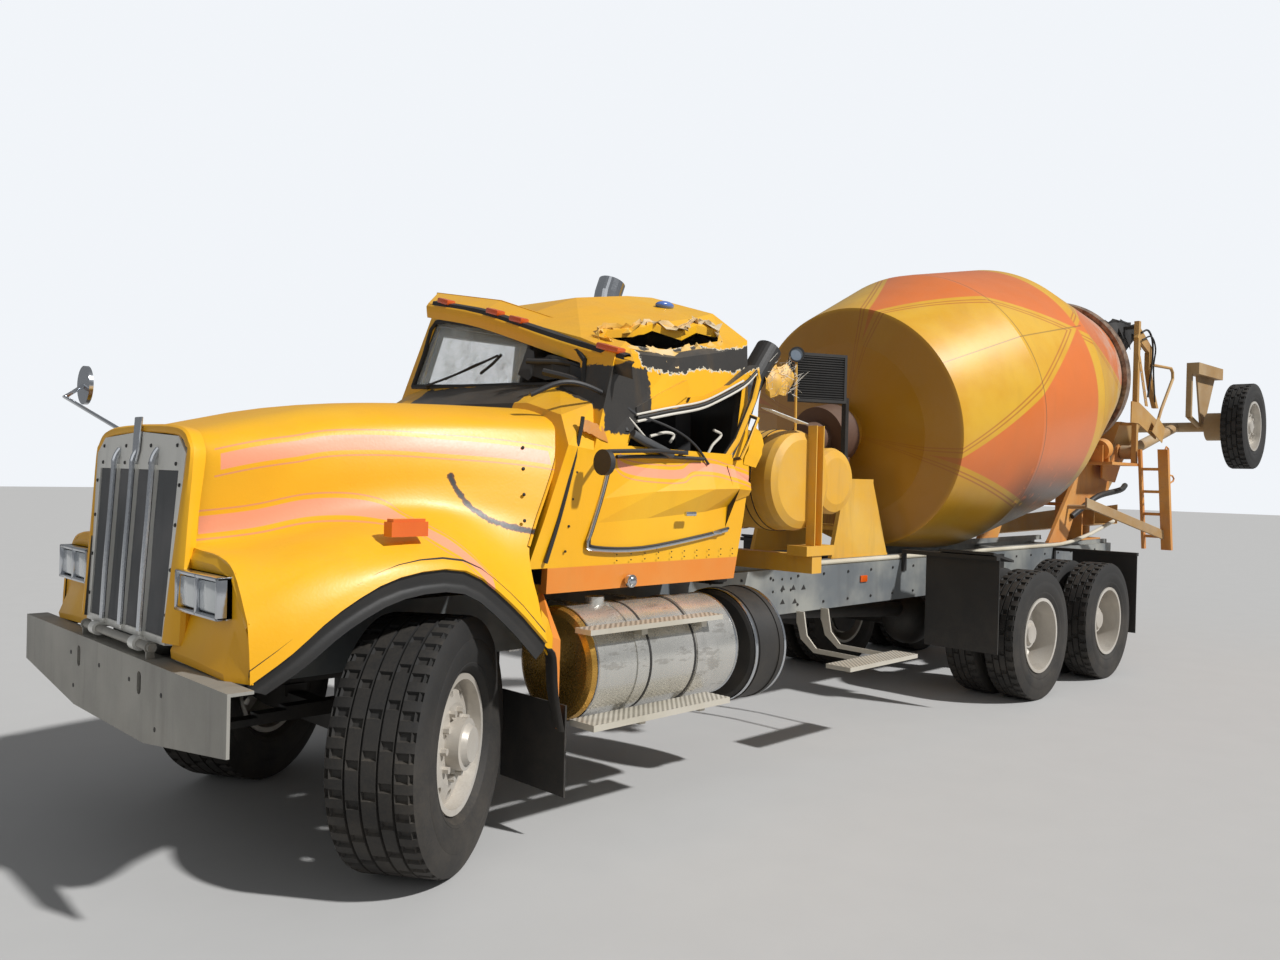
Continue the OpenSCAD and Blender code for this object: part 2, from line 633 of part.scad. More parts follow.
hinge_x = -850;
hinge_y = -997;
hinge_z = [1410, 1650];
module cab_shell() placed() color([0.95, 0.72, 0.05]) {
    difference() {
        cab_solid(0);
        cab_solid(cab_wall);
        windscreen_cut();
        cross_plate(rear_window_outline, cab_rear - 300, cab_rear + 60);
        side_plate(left_door_outline, 700, 1200);
        side_plate(left_window_outline, 760, 1200);
        side_plate(right_door_outline, -1200, -700);
        translate([0, 0, 2250]) linear_extrude(700) polygon(tear_outline);
        // Clear of the engine and of the front wheel
        block([-710, -320, cab_floor - 10], [-400, 320, 1690]);
        block([-612, -1200, cab_floor - 10], [-400, 1200, 1273]);
    }
    both_sides() loft([for (s = splash_sections) fender_ring(s)]);
    visor();
    for (outline = [header_front, header_rear]) side_plate(outline, 880, 955);
    bent_rod(pillar_route, 22, [0, 1, 0]);
    bent_rod(grab_route, 12, [1, 0.2, 0.2]);
    // Hinge pins of the right door, each on a bracket in front of the opening
    for (z = hinge_z) {
        translate([hinge_x, hinge_y, z - 50]) cylinder(r = hinge_r, h = 90);
        block([hinge_x - 12, hinge_y - 12, z - 62], [hinge_x + 40, hinge_y + 12, z - 48]);
        block([hinge_x + 12, hinge_y - 12, z - 62], [hinge_x + 40, hinge_y + 40, z - 48]);
    }
}

// A door's panel on the right side, as thick as the whole door, with its hinge sleeves
module right_door() placed() color([0.95, 0.72, 0.05]) {
    difference() {
        intersection() {
            side_plate(inset_outline(right_door_outline, door_gap), -1200, -700);
            cab_solid(0);
        }
        cab_solid(55);
        side_plate(right_window_outline, -1200, -700);
    }
    for (z = hinge_z) difference() {
        union() {
            translate([hinge_x, hinge_y, z - 40]) cylinder(r = hinge_r + 6, h = 60);
            block([hinge_x - 60, hinge_y - 6, z - 40], [hinge_x, hinge_y + 6, z + 20]);
            block([hinge_x - 60, hinge_y - 6, z - 40], [hinge_x - 30, hinge_y + 36, z + 20]);
        }
        translate([hinge_x, hinge_y, z - 41]) cylinder(r = hinge_r + run_gap, h = 62);
    }
}
hinge_r = 8;

// An outline moved towards its middle by a clearance
function inset_outline(points, gap) = let (
    cx = (min([for (p = points) p[0]]) + max([for (p = points) p[0]])) / 2,
    cz = (min([for (p = points) p[1]]) + max([for (p = points) p[1]])) / 2)
    [for (p = points) [p[0] - sign(p[0] - cx) * gap, p[1] - sign(p[1] - cz) * gap]];

// A pane between two depths under the cab's outer surface
module pane(depth, t) difference() {
    cab_solid(depth);
    cab_solid(depth + t);
}

module right_door_glass() placed() color([0.75, 0.85, 0.85, 0.4]) intersection() {
    pane(20, 6);
    side_plate(inset_outline(right_window_outline, seat_gap), -1200, -700);
}

module cab_glass() placed() color([0.75, 0.85, 0.85, 0.4]) intersection() {
    pane(12, 6);
    cross_plate(inset_outline([[-860, 2240], [-800, 2660], [0, 2540], [240, 2477], [240, 2200]], seat_gap), -1350, -850);
}

// The crushed left door, with one row for each corner of its outline's bottom edge. Columns are the reach
// of the lower skin, the height of the fold under the bulge, the bulge's reach and height, and the top's reach
door_sections = [
    [975, 1480, 985, 1600, 965],
    [976, 1482, 988, 1603, 965],
    [980, 1500, 1012, 1640, 974],
    [982, 1530, 1050, 1656, 990],
    [982, 1560, 1060, 1660, 1000]
];
door_t = 45;

// A point of the left door at height z on the line between the bottom point b and the top point t
function door_point(b, t, reach, z) = [b[0] + (t[0] - b[0]) * (z - b[1]) / (t[1] - b[1]), reach, z];

// The ring of the left door at the bottom corner i of its outline o, whose last two points are its top edge
function door_ring(s, o, i) = let (
    f = (o[i][0] - o[0][0]) / (o[4][0] - o[0][0]), b = o[i], t = o[6] + f * (o[5] - o[6]))
    [for (p = [
        [s[2], s[3]], [s[4], t[1]], [s[4] - door_t, t[1]], [s[0] - door_t, s[3]],
        [s[0] - door_t, b[1]], [s[0], b[1]], [s[0] + 4, s[1]]
    ]) door_point(b, t, p[0], p[1])];

module left_door() placed() color([0.95, 0.72, 0.05]) {
    outline = inset_outline(left_door_outline, seat_gap);
    loft([for (i = [0:4]) door_ring(door_sections[i], outline, i)]);
    // The skin that sticks out behind the door's edge
    loft([[[-1860, 992, 1570], [-1860, 1056, 1660], [-1860, 1004, 1790], [-1860, 992, 1700]],
        [[-2070, 992, 1620], [-2070, 1010, 1650], [-2070, 1004, 1690], [-2070, 992, 1660]]]);
}

module cab_interior() placed() color([0.15, 0.15, 0.16]) {
    for (y = [-480, 430]) {
        block([-1850, y - 240, cab_floor + cab_wall + seat_gap], [-1350, y + 240, 1450]);
        block([-1850, y - 240, 1449], [-1300, y + 240, 1600]);
        block([-1930, y - 230, 1500], [-1800, y + 230, 2150]);
    }
    block([-1050, -800, 1650], [-870, 800, 1930]);
    block([-1040, -60, cab_floor + cab_wall + seat_gap], [-900, 60, 1651]);
}

// Round mirror beside the crushed door, on an arm from the belt
module left_mirror() placed() color([0.08, 0.08, 0.08]) {
    bent_rod([[-820, 1120, 1780], [-900, 1060, 1835], [-1250, 1030, 1850], [-1505, 1012, 1847]], 11, [0.2, 0.3, 1]);
    translate([-835, 1120, 1780]) rotate([0, 90, 0]) cylinder(r = 62, h = 30);
    block([-1520, 981.2, 1835], [-1490, 1020, 1858]);
}

module exhaust_stack() placed() color([0.1, 0.1, 0.1]) {
    // Crushed and bent back over the tank; its foot is on the frame
    difference() {
        bent_rod([[-2190, 640, 1110], [-2190, 720, 1500], [-2230, 730, 2000], [-2330, 740, 2260], [-2530, 750, 2520]], 82, [1, 0, 0], 24);
        bent_rod([[-2340, 741, 2275], [-2545, 751, 2540]], 76, [1, 0, 0], 24);
    }
    block([-2215, rail_half + seat_gap, 1075], [-2165, 640, 1096]);
    translate([-2190, 640, 1080]) cylinder(r = 60, h = 60);
}

water_x = -2645;
water_z = 1712;
water_right = -700;
water_left = 950;
post_foot = 1310;

// The stack on the right, upright behind the cab and beside the water tank's end
stack_r = 100;
right_stack_x = -2583;
right_stack_y = water_right - stack_r - 3;
module right_stack() placed() color([0.8, 0.82, 0.85]) {
    difference() {
        bent_rod([for (p = [[0, 1110], [0, 2850], [-6, 2950], [-24, 3040], [-60, 3130]])
            [right_stack_x + p[0], right_stack_y, p[1]]], stack_r, [1, 0, 0], 32);
        bent_rod([for (p = [[0, 2700], [0, 2850], [-6, 2950], [-24, 3040], [-64, 3140]])
            [right_stack_x + p[0], right_stack_y, p[1]]], stack_r - 4, [1, 0, 0], 32);
    }
    translate([right_stack_x, right_stack_y, 1080]) cylinder(r = 70, h = 60);
    block([right_stack_x - 30, right_stack_y, 1075], [right_stack_x + 30, -rail_half - seat_gap, 1096]);
}

module water_tank() placed() color([0.95, 0.7, 0.05]) {
    long = water_left - water_right;
    translate([water_x, water_right, water_z]) rotate([-90, 0, 0]) rotate_extrude($fn = 96) polygon([
        [0, 0], [water_r - 60, 0], [water_r - 15, 20], [water_r, 60],
        [water_r, long - 60], [water_r - 15, long - 20], [water_r - 60, long], [0, long]
    ]);
    both_sides() block([water_x - 60, sub_in + 3, sub_top + seat_gap], [water_x + 60, sub_out - 3, water_z - water_r + 40]);
    for (y = [-420, 460, 760]) difference() {
        bar_y(water_r + 6, water_x, water_z, y - 30, y + 30);
        bar_y(water_r - 5, water_x, water_z, y - 31, y + 31);
    }
    // Channel post in front of the tank's left end, on a beam from the mixer's frame
    difference() {
        block([water_x - 130, water_left - 5, post_foot], [water_x - 50, water_left + 60, water_z + 340]);
        block([water_x - 122, water_left + 3, post_foot - 1], [water_x - 58, water_left + 61, water_z + 341]);
    }
    block([water_x - 145, sub_in + 3, sub_top + seat_gap], [water_x - 45, water_left + 50, post_foot - 59]);
    block([water_x - 265, water_left - 90, post_foot - 60], [water_x + 25, water_left + 60, post_foot + 1]);
    // Short second tank behind it
    translate([water_x - 430, water_left - 390, water_z]) rotate([-90, 0, 0]) rotate_extrude($fn = 72)
        polygon([[0, 0], [215, 0], [215, 300], [200, 330], [150, 345], [0, 345]]);
    // Gauge on its stalk
    bent_rod([[-2890, 700, 1850], [-2892, 700, 2060], [-2885, 700, 2500]], 9, [1, 0.2, 0], 8);
    translate([-2885, 700, 2525]) rotate([0, 90, 45]) translate([0, 0, -14]) cylinder(r = 48, h = 28);
}

module front_pedestal() placed() color([0.95, 0.7, 0.05]) {
    both_sides() side_plate([[-3800, sub_top + seat_gap], [-4560, sub_top + seat_gap], [-4340, 1700], [-3960, 1700]],
        sub_in + 5, sub_out - 2);
    block([-4340, -sub_out + 2, 1700], [-3960, sub_out - 2, 1730]);
    both_sides() block([-4560, sub_in + 1, sub_top + seat_gap], [-3810, sub_out, sub_top + 16]);
    block([-4300, -sub_in - 6, sub_top + 200], [-4000, sub_in + 6, sub_top + 230]);
}

module drum_gearbox() placed() color([0.25, 0.25, 0.25]) {
    translate(on_axis(drum_front - seat_gap)) rotate([0, -90 + drum_tilt, 0]) mirror([0, 0, 1]) {
        cylinder(r = 190, h = 60);
        translate([0, 0, 55]) cylinder(r = 240, h = 220);
        translate([0, 0, 270]) cylinder(r = 130, h = 200);
    }
    block([-4280, -200, 1730 + seat_gap], [-4060, 200, 1900]);
}

fin_count = 18;
module oil_cooler() placed() color([0.08, 0.08, 0.08]) {
    translate([-3450, 470, 2260]) rotate([0, 0, -25]) {
        difference() {
            block([-210, -45, 0], [210, 45, 340]);
            for (y = [-46, 30]) block([-190, y, 20], [190, y + 16, 320]);
        }
        for (i = [0:fin_count - 1]) let (z = 28 + i * 284 / (fin_count - 1)) block([-191, -42, z - 3], [191, 42, z + 3]);
    }
    block([-3990, 340, 1730 + seat_gap], [-3950, 376, 2330]);
    block([-3990, 340, 2300], [-3500, 376, 2330]);
    block([-3560, 340, 2300], [-3500, 480, 2330]);
}

hose_r = 19;
hose_y = sub_out + hose_r + seat_gap;
hose_z = rail_top + hose_r + seat_gap;
drum_front = 1431;
roller_r = 110;
roller_angle = 32;
ring_s = 5500;
roller_reach = ring_r + roller_r + seat_gap;
roller_x = on_axis(ring_s)[0] - roller_reach * cos(roller_angle) * sin(drum_tilt);
roller_y = roller_reach * sin(roller_angle);
roller_z = on_axis(ring_s)[2] - roller_reach * cos(roller_angle) * cos(drum_tilt);
ped_top = 1970;
ped_half = 700;
shelf_z = 1130;
post_x = -9040;
post_y = 630;
module rear_pedestal() placed() color([0.85, 0.35, 0.08]) {
    both_sides() {
        side_plate([[-7550, sub_top + seat_gap], [-7980, sub_top + seat_gap], [-8200, 1460], [-8700, 1620], [-9080, 1640],
            [-9080, ped_top - 29], [-8320, ped_top - 29]], sub_in + 5, sub_out - 2);
        block([-7980, sub_in + 1, sub_top + seat_gap], [-7560, sub_out, sub_top + 16]);
        // Roller under the track ring, on an axle between two lugs
        translate(on_axis(ring_s)) rotate([0, -90 + drum_tilt, 0])
            translate([-roller_reach * cos(roller_angle), roller_reach * sin(roller_angle), 0]) {
                translate([0, 0, -60]) cylinder(r = roller_r, h = 120);
                translate([0, 0, -105]) cylinder(r = 28, h = 210);
            }
        for (x = [roller_x - 85, roller_x + 85])
            block([x - 12, roller_y - 60, ped_top - 1], [x + 12, roller_y + 60, roller_z + 45]);
        // Bracket that carries the booster's lift pivot, with its pin
        side_plate([[-8620, 1800], [-8980, 1760], [lift_x - 70, lift_z - 70], [lift_x - 70, lift_z + 70],
            [lift_x + 60, lift_z + 90], [-8860, ped_top], [-8620, ped_top]], lift_y - 95, lift_y - 75);
        bar_y(lift_pin_r, lift_x, lift_z, lift_y - 90, lift_y + 66);
    }
    block([-9080, -ped_half, ped_top - 30], [-8300, ped_half, ped_top]);
    block([-8600, -sub_in - 6, 1500], [-8300, sub_in + 6, 1530]);
    // Shelf with the chute's pivot pin, hung from the top plate
    block([-8980, -150, shelf_z - 30], [-8950, 150, ped_top - 29]);
    block([chute_x - 90, -150, shelf_z - 30], [-8950, 150, shelf_z]);
    translate([chute_x, 0, shelf_z - 1]) cylinder(r = 35, h = 100);
}

module hopper_frame() placed() color([0.9, 0.7, 0.2]) {
    both_sides() {
        block([post_x - 30, post_y, ped_top + seat_gap], [post_x + 30, post_y + 50, 3500]);
        // Beam from the post's head and the curved bar under it
        side_plate([[post_x + 60, 3320], [post_x - 20, 3430], [-9480, 3230], [-9450, 3150], [post_x - 20, 3290]],
            post_y + 10, post_y + 50);
        side_plate([[-9480, 3230], [-9340, 3190], [-9340, 3010], [-9440, 2800], [-9600, 2600], [-9670, 2600],
            [-9500, 2830], [-9410, 3030], [-9410, 3120], [-9470, 3150]], post_y, post_y + 50);
        // Perforated strip beside the post, and the panel at its foot
        difference() {
            side_plate([[-9000, 3130], [-9065, 3130], [-9330, 2600], [-9250, 2600]], post_y + 49, post_y + 55);
            for (i = [0:4]) bar_y(14, -9060 - i * 48, 3050 - i * 95, post_y + 40, post_y + 60);
        }
        side_plate([[-8830, 2400], [-8830, 2625], [-9050, 2625], [-9730, 2430], [-9580, 2250], [-9050, 2400]],
            post_y + 49, post_y + 60);
    }
    // Tread plate and bent handrail over the ladder
    side_plate([[-9450, 2490], [-9680, 2380], [-9600, 2210], [-9280, 2320]], post_y + 116, post_y + 122);
    block([-9470, post_y + 59, 2330], [-9350, post_y + 117, 2342]);
    bent_rod([[-9375, post_y + 45, 3050], [-9460, post_y + 66, 3062], [-9980, post_y + 70, 3075],
        [-10040, post_y + 70, 3035], [-10050, post_y + 70, 2960], [-9700, post_y + 70, 2590],
        [-9640, post_y + 68, 2500], [-9600, post_y + 62, 2430]], 17, [0, 1, 0]);
}

module hopper() placed() color([0.1, 0.1, 0.1]) {
    difference() {
        loft([
            [[-8990, -250, 2950], [-8990, 250, 2950], [-9300, 250, 2950], [-9300, -250, 2950]],
            [[-8960, -500, 3480], [-8960, 500, 3480], [-9600, 500, 3480], [-9600, -500, 3480]]
        ]);
        loft([
            [[-8998, -242, 2940], [-8998, 242, 2940], [-9292, 242, 2940], [-9292, -242, 2940]],
            [[-8968, -492, 3490], [-8968, 492, 3490], [-9592, 492, 3490], [-9592, -492, 3490]]
        ]);
    }
    both_sides() block([post_x - 20, 478, 3420], [post_x + 20, post_y - seat_gap, 3450]);
}

module collector() placed() color([0.9, 0.65, 0.1]) {
    difference() {
        loft([
            [[-9250, -180, 1620], [-9250, 180, 1620], [-9550, 180, 1620], [-9550, -180, 1620]],
            [[-8990, -520, 2420], [-8990, 520, 2420], [-9620, 520, 2420], [-9620, -520, 2420]]
        ]);
        loft([
            [[-9258, -170, 1610], [-9258, 170, 1610], [-9542, 170, 1610], [-9542, -170, 1610]],
            [[-8998, -510, 2430], [-8998, 510, 2430], [-9612, 510, 2430], [-9612, -510, 2430]]
        ]);
    }
    both_sides() block([post_x - 20, 510, 2380], [post_x + 20, post_y - seat_gap, 2410]);
}

module rear_ladder() placed() color([0.85, 0.4, 0.1]) {
    // Inner and outer rail, leaning back towards the foot, and the rungs between them
    for (y = [[ped_half + seat_gap, ped_half + 30], [900, 1000]])
        side_plate([[-9000, 2120], [-9060, 2120], [-9250, 1050], [-9190, 1050]], y[0], y[1]);
    for (i = [0:3]) let (z = 1190 + 240 * i, x = -9220 + (z - 1050) * 0.178)
        block([x - 20, ped_half + 29, z - 15], [x + 20, 901, z + 15]);
    // Hand loops on the outer rail
    bent_rod([[-9055, 960, 1960], [-9130, 960, 1985], [-9170, 960, 2060], [-9150, 960, 2130], [-9090, 960, 2150],
        [-9035, 960, 2100]], 9, [0, 1, 0], 8);
    bent_rod([[-9120, 960, 1740], [-9330, 960, 1790], [-9350, 960, 1815], [-9300, 960, 1845], [-9085, 960, 1860]],
        9, [0, 1, 0], 8);
}

// The hose lies along the subframe and climbs at its rear end. Columns are the station and the rise
hose_route = [[-3200, 0], [-5500, 0], [-7600, 0], [-7800, 4], [-8000, 18], [-8250, 47], [-8540, 88], [-8860, 150],
    [-9180, 214]];
module pressure_hose() placed() color([0.8, 0.78, 0.7])
    bent_rod([for (p = hose_route) [p[0], hose_y, hose_z + p[1]]], hose_r, [0, 1, 0]);

// The drum's outer profile: columns are the distance along the axis and the radius
drum_profile = [[1500, 220], [1560, 700], [1647, head_r], [2547, drum_r - 3], [2700, drum_r], [3800, drum_r], [5400, 768], [5950, mouth_r]];
module drum() placed() color([0.95, 0.7, 0.1])
    translate(on_axis(0)) rotate([0, -90 + drum_tilt, 0]) {
        n = len(drum_profile);
        inner = [for (i = [n - 1:-1:0]) [drum_profile[i][1] - drum_wall, drum_profile[i][0] + (i < 3 ? drum_wall : 0)]];
        rotate_extrude($fn = 120) polygon(concat([[0, 1500]], [for (p = drum_profile) [p[1], p[0]]],
            inner, [[0, 1500 + drum_wall]]));
        rotate_extrude($fn = 120) polygon([[740, ring_s - 55], [ring_r, ring_s - 55], [ring_r, ring_s + 55], [740, ring_s + 55]]);
        translate([0, 0, drum_front]) cylinder(r = 185, h = 75);
    }

chute_x = -9400;
chute_z = 1250;
chute_park = 85;
module chute() placed() color([0.9, 0.65, 0.1])
    translate([chute_x, 0, chute_z]) rotate([0, 0, chute_park]) {
        difference() {
            translate([0, 0, -110]) cylinder(r = 60, h = 130);
            translate([0, 0, -121]) cylinder(r = 35 + run_gap, h = 100 + run_gap);
        }
        difference() {
            loft([
                [[250, -280, 40], [250, 280, 40], [250, 280, 260], [250, -280, 260]],
                [[-1200, -200, -160], [-1200, 200, -160], [-1200, 200, 20], [-1200, -200, 20]]
            ]);
            loft([
                [[260, -272, 48], [260, 272, 48], [260, 272, 270], [260, -272, 270]],
                [[-1210, -192, -152], [-1210, 192, -152], [-1210, 192, 30], [-1210, -192, 30]]
            ]);
        }
    }

booster_tyre_y = booster_half - rear_w / 2;
module booster_arm() placed() color([0.3, 0.22, 0.18]) {
    bar_y(60, booster_x, booster_z, -930, 930);
    bar_y(spindle_r, booster_x, booster_z, -booster_tyre_y - 40, booster_tyre_y + 40);
    both_sides() {
        difference() {
            union() {
                rod([lift_x, lift_y, lift_z], [booster_x, 300, booster_z], 60);
                bar_y(75, lift_x, lift_z, lift_y - 60, lift_y + 60);
            }
            bar_y(lift_pin_r + run_gap, lift_x, lift_z, lift_y - 120, lift_y + 120);
        }
        // Beam over the wheel's inner side, with its gusset and leg
        block([booster_x - 500, 560, booster_z + 620], [booster_x + 450, 700, booster_z + 760]);
        side_plate([[booster_x - 450, booster_z + 630], [booster_x + 250, booster_z + 630],
            [booster_x + 60, booster_z], [booster_x - 60, booster_z]], 600, 620);
        bar_y(170, booster_x, booster_z, 680, 930);
        block([booster_x + 400, 560, booster_z + 100], [booster_x + 450, 620, booster_z + 621]);
        rod([booster_x + 425, 590, booster_z + 110], [booster_x, 590, booster_z], 30);
    }
}

module booster_place(side)
    translate([booster_x, side * booster_tyre_y, booster_z]) rotate([-90 * side, 0, 0]) children();

module booster_tyre(side) placed() color([0.08, 0.08, 0.08]) booster_place(side)
    tyre(rear_r, rear_w, rim_w_rear);

module booster_rim(side) placed() color([0.75, 0.75, 0.7])
    booster_place(side) rim(rim_w_rear, 40, 0, 0, 90, spindle_r + run_gap);

// Bonnet sections from front to rear. Columns are the station at the bottom and at the top, half
// the width at the bottom, at the shoulder and at the crown, and the heights of the bottom,
// the shoulder and the crown
hood_sections = [
    [886, 854, 500, 535, 440, 1380, 1770, 1885],
    [310, 310, 700, 660, 480, 1380, 1870, 2020],
    [-486, -760, 950, 850, 640, 1330, 1880, 2064]
];

// The station at height z on a section that leans from s[0] at its bottom to s[1] at its crown
function lean(s, z) = s[0] + (s[1] - s[0]) * (z - s[5]) / (s[7] - s[5]);

function hood_ring(s, t) = [for (p = [
    [-s[2] + t, s[5] - min(t, 5)], [-s[3] + t, s[6] - t / 2], [-s[4] + t / 2, s[7] - 15 - t], [0, s[7] - t],
    [s[4] - t / 2, s[7] - 15 - t], [s[3] - t, s[6] - t / 2], [s[2] - t, s[5] - min(t, 5)]
]) [lean(s, p[1]), p[0], p[1]]];

lamp_back = 866;
lamp_top = 1310;

// Fender sections from front to rear. Columns are the station, the reach and height where the
// fender meets the bonnet, of its shoulder, and of its lower edge
fender_sections = [
    [860, 420, 1420, 1000, 1380, 1110, 930],
    [600, 480, 1480, 1060, 1400, 1170, 1180],
    [300, 560, 1560, 1080, 1440, 1180, 1300],
    [0, 680, 1560, 1100, 1420, 1180, 1310],
    [-250, 780, 1500, 1110, 1300, 1180, 1150],
    [-400, 800, 1440, 1100, 1200, 1160, 1000],
    [-460, 810, 1262, 1090, 1130, 1120, 950]
];
// The fixed splash guard behind the front wheel, with the same columns
splash_sections = [
    [-485, 830, 1190, 1080, 1100, 1108, 930],
    [-540, 860, 1120, 1065, 1050, 1080, 880],
    [-590, 880, 1100, 1045, 960, 1040, 700],
    [splash_end, 890, 1170, 1040, 940, 1035, 520]
];

function fender_ring(s) = [
    [s[0], s[1], s[2]], [s[0], s[3], s[4]], [s[0], s[5], s[6]],
    [s[0], s[5] - skin, s[6]], [s[0], s[3] - skin, s[4] - skin], [s[0], s[1], s[2] - 2 * skin]
];

// The tear in the bonnet's left side, drawn in X and Z
bonnet_tear = [[-165, 1690], [-200, 1625], [-270, 1545], [-370, 1495], [-470, 1475], [-530, 1455], [-530, 1425],
    [-460, 1440], [-365, 1460], [-262, 1510], [-185, 1600]];
module hood() placed() color([0.95, 0.72, 0.05]) {
    difference() {
        loft([for (s = hood_sections) hood_ring(s, 0)]);
        side_plate(bonnet_tear, 700, 1000);
        loft([for (i = [0:2]) let (s = hood_sections[i], dx = i == 0 ? 10 : i == 2 ? -10 : 0)
            hood_ring([s[0] + dx, s[1] + dx, s[2], s[3], s[4], s[5], s[6], s[7]], skin)]);
    }
    both_sides() {
        loft([for (s = fender_sections) fender_ring(s)]);
        // Front of the fender, the hood over the lamps, and the apron behind the bumper
        cross_plate([[500, 960], [500, 1130], [410, 1130], [410, 1426], [1003, 1384], [1110, 942], [1110, 926],
            [1050, 926]],
            lamp_back - 20, lamp_back);
        side_plate([[lamp_back - 2, lamp_top + seat_gap], [lamp_back + 42, lamp_top + seat_gap], [lamp_back - 2, lamp_top + 55]], 520, 900);
        side_plate([[lamp_back - 16, 1120], [lamp_back, 1120], [940, 970], [925, 962]], 500, 1060);
    }
}

module grille() placed() color([0.75, 0.75, 0.75]) {
    front = 950;
    slope = 50 / (1800 - grille_bottom);
    outline = [[-480, grille_bottom], [-grille_half, 1770], [-440, 1840], [0, grille_top], [440, 1840],
        [grille_half, 1770], [480, grille_bottom]];
    opening = [[-445, grille_bottom + 30], [-470, 1700], [470, 1700], [445, grille_bottom + 30]];
    translate([front, 0, grille_bottom]) rotate([0, -3.6, 0]) translate([-front, 0, -grille_bottom]) {
        difference() {
            cross_plate(outline, front - 40, front);
            cross_plate(opening, front - 30, front + 1);
        }
        block([front - 35, -22, grille_top - 25], [front - 10, 22, grille_top + 16]);
        for (y = [-440:40:440]) block([front - 31, y - 3, grille_bottom + 10], [front - 12, y + 3, 1720]);
        for (y = [-230, 0, 230]) block([front - 30, y - 12, grille_bottom + 10], [front + 12, y + 12, 1720]);
    }
    // Sleeves round the pivot pipe
    for (y = [-250, 250]) difference() {
        union() {
            bar_y(hood_pipe_r + 12, hood_pivot_x, hood_pivot_z, y - 30, y + 30);
            block([front - 45, y - 30, grille_bottom - 8], [hood_pivot_x, y + 30, grille_bottom + 8]);
        }
        bar_y(hood_pipe_r + run_gap, hood_pivot_x, hood_pivot_z, y - 31, y + 31);
    }
}

module headlamps() placed() color([0.8, 0.8, 0.8]) both_sides()
    block([lamp_back + seat_gap, 508, 1150], [lamp_back + 50, 890, lamp_top]);

// Amber turn lamps on the fenders' shoulders
module turn_lamps() placed() color([0.9, 0.4, 0.05]) both_sides() {
    block([140, 1040, lamp_seat], [310, 1100, lamp_seat + 60]);
    block([150, 1046, lamp_seat + 59], [300, 1094, lamp_seat + 72]);
}
lamp_seat = 1452.4;

module fender_flares() placed() color([0.06, 0.06, 0.06]) both_sides()
    loft([for (i = [0:5]) let (s = fender_sections[i], x = s[0], y = s[5] + seat_gap, z = s[6])
        [[x, y, z - 10], [x, y, z + 60], [x, y + 30, z + 50], [x, y + 50, z - 10]]]);

module hood_mirror() placed() color([0.2, 0.2, 0.2]) {
    bent_rod([[705, -820, 1426], [712, -760, 1877], [889, -1100, 2053], [800, -1100, 2120]], 12, [1, 0.2, -0.5]);
    translate([785, -1100, 2120]) rotate([0, 90, 0]) cylinder(r = 100, h = 20);
}

frame_rails();
bumper();
engine_block();
front_axle();
rear_drive_line();
fuel_tanks();
side_steps();
round_tank();
mud_flaps();
cab_shell();
left_door();
cab_glass();
cab_interior();
left_mirror();
exhaust_stack();
right_stack();
water_tank();
front_pedestal();
drum_gearbox();
oil_cooler();
rear_pedestal();
hopper_frame();
hopper();
collector();
rear_ladder();
pressure_hose();
hood();
grille();
headlamps();
turn_lamps();
fender_flares();
hood_mirror();
right_door();
right_door_glass();
knuckle_left();
knuckle_right();
front_tyre(1);  // front_tyre_left
front_rim(1);  // front_rim_left
front_tyre(-1);  // front_tyre_right
front_rim(-1);  // front_rim_right
rear_tyres(0, 1);  // rear_tyres_1_left
rear_rims(0, 1);  // rear_rims_1_left
rear_tyres(0, -1);  // rear_tyres_1_right
rear_rims(0, -1);  // rear_rims_1_right
rear_tyres(1, 1);  // rear_tyres_2_left
rear_rims(1, 1);  // rear_rims_2_left
rear_tyres(1, -1);  // rear_tyres_2_right
rear_rims(1, -1);  // rear_rims_2_right
drum();
chute();
booster_arm();
booster_tyre(1);  // booster_tyre_left
booster_rim(1);  // booster_rim_left
booster_tyre(-1);  // booster_tyre_right
booster_rim(-1);  // booster_rim_right
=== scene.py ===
"""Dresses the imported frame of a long-bonnet concrete mixer truck for its studio picture."""

from __future__ import annotations

import json
import logging
import math
import random
from collections.abc import Callable, Iterable, Mapping, Sequence
from dataclasses import dataclass
from enum import Enum
from typing import Any, ClassVar

import bmesh
import bpy
from mathutils import Matrix, Vector
from mathutils.bvhtree import BVHTree

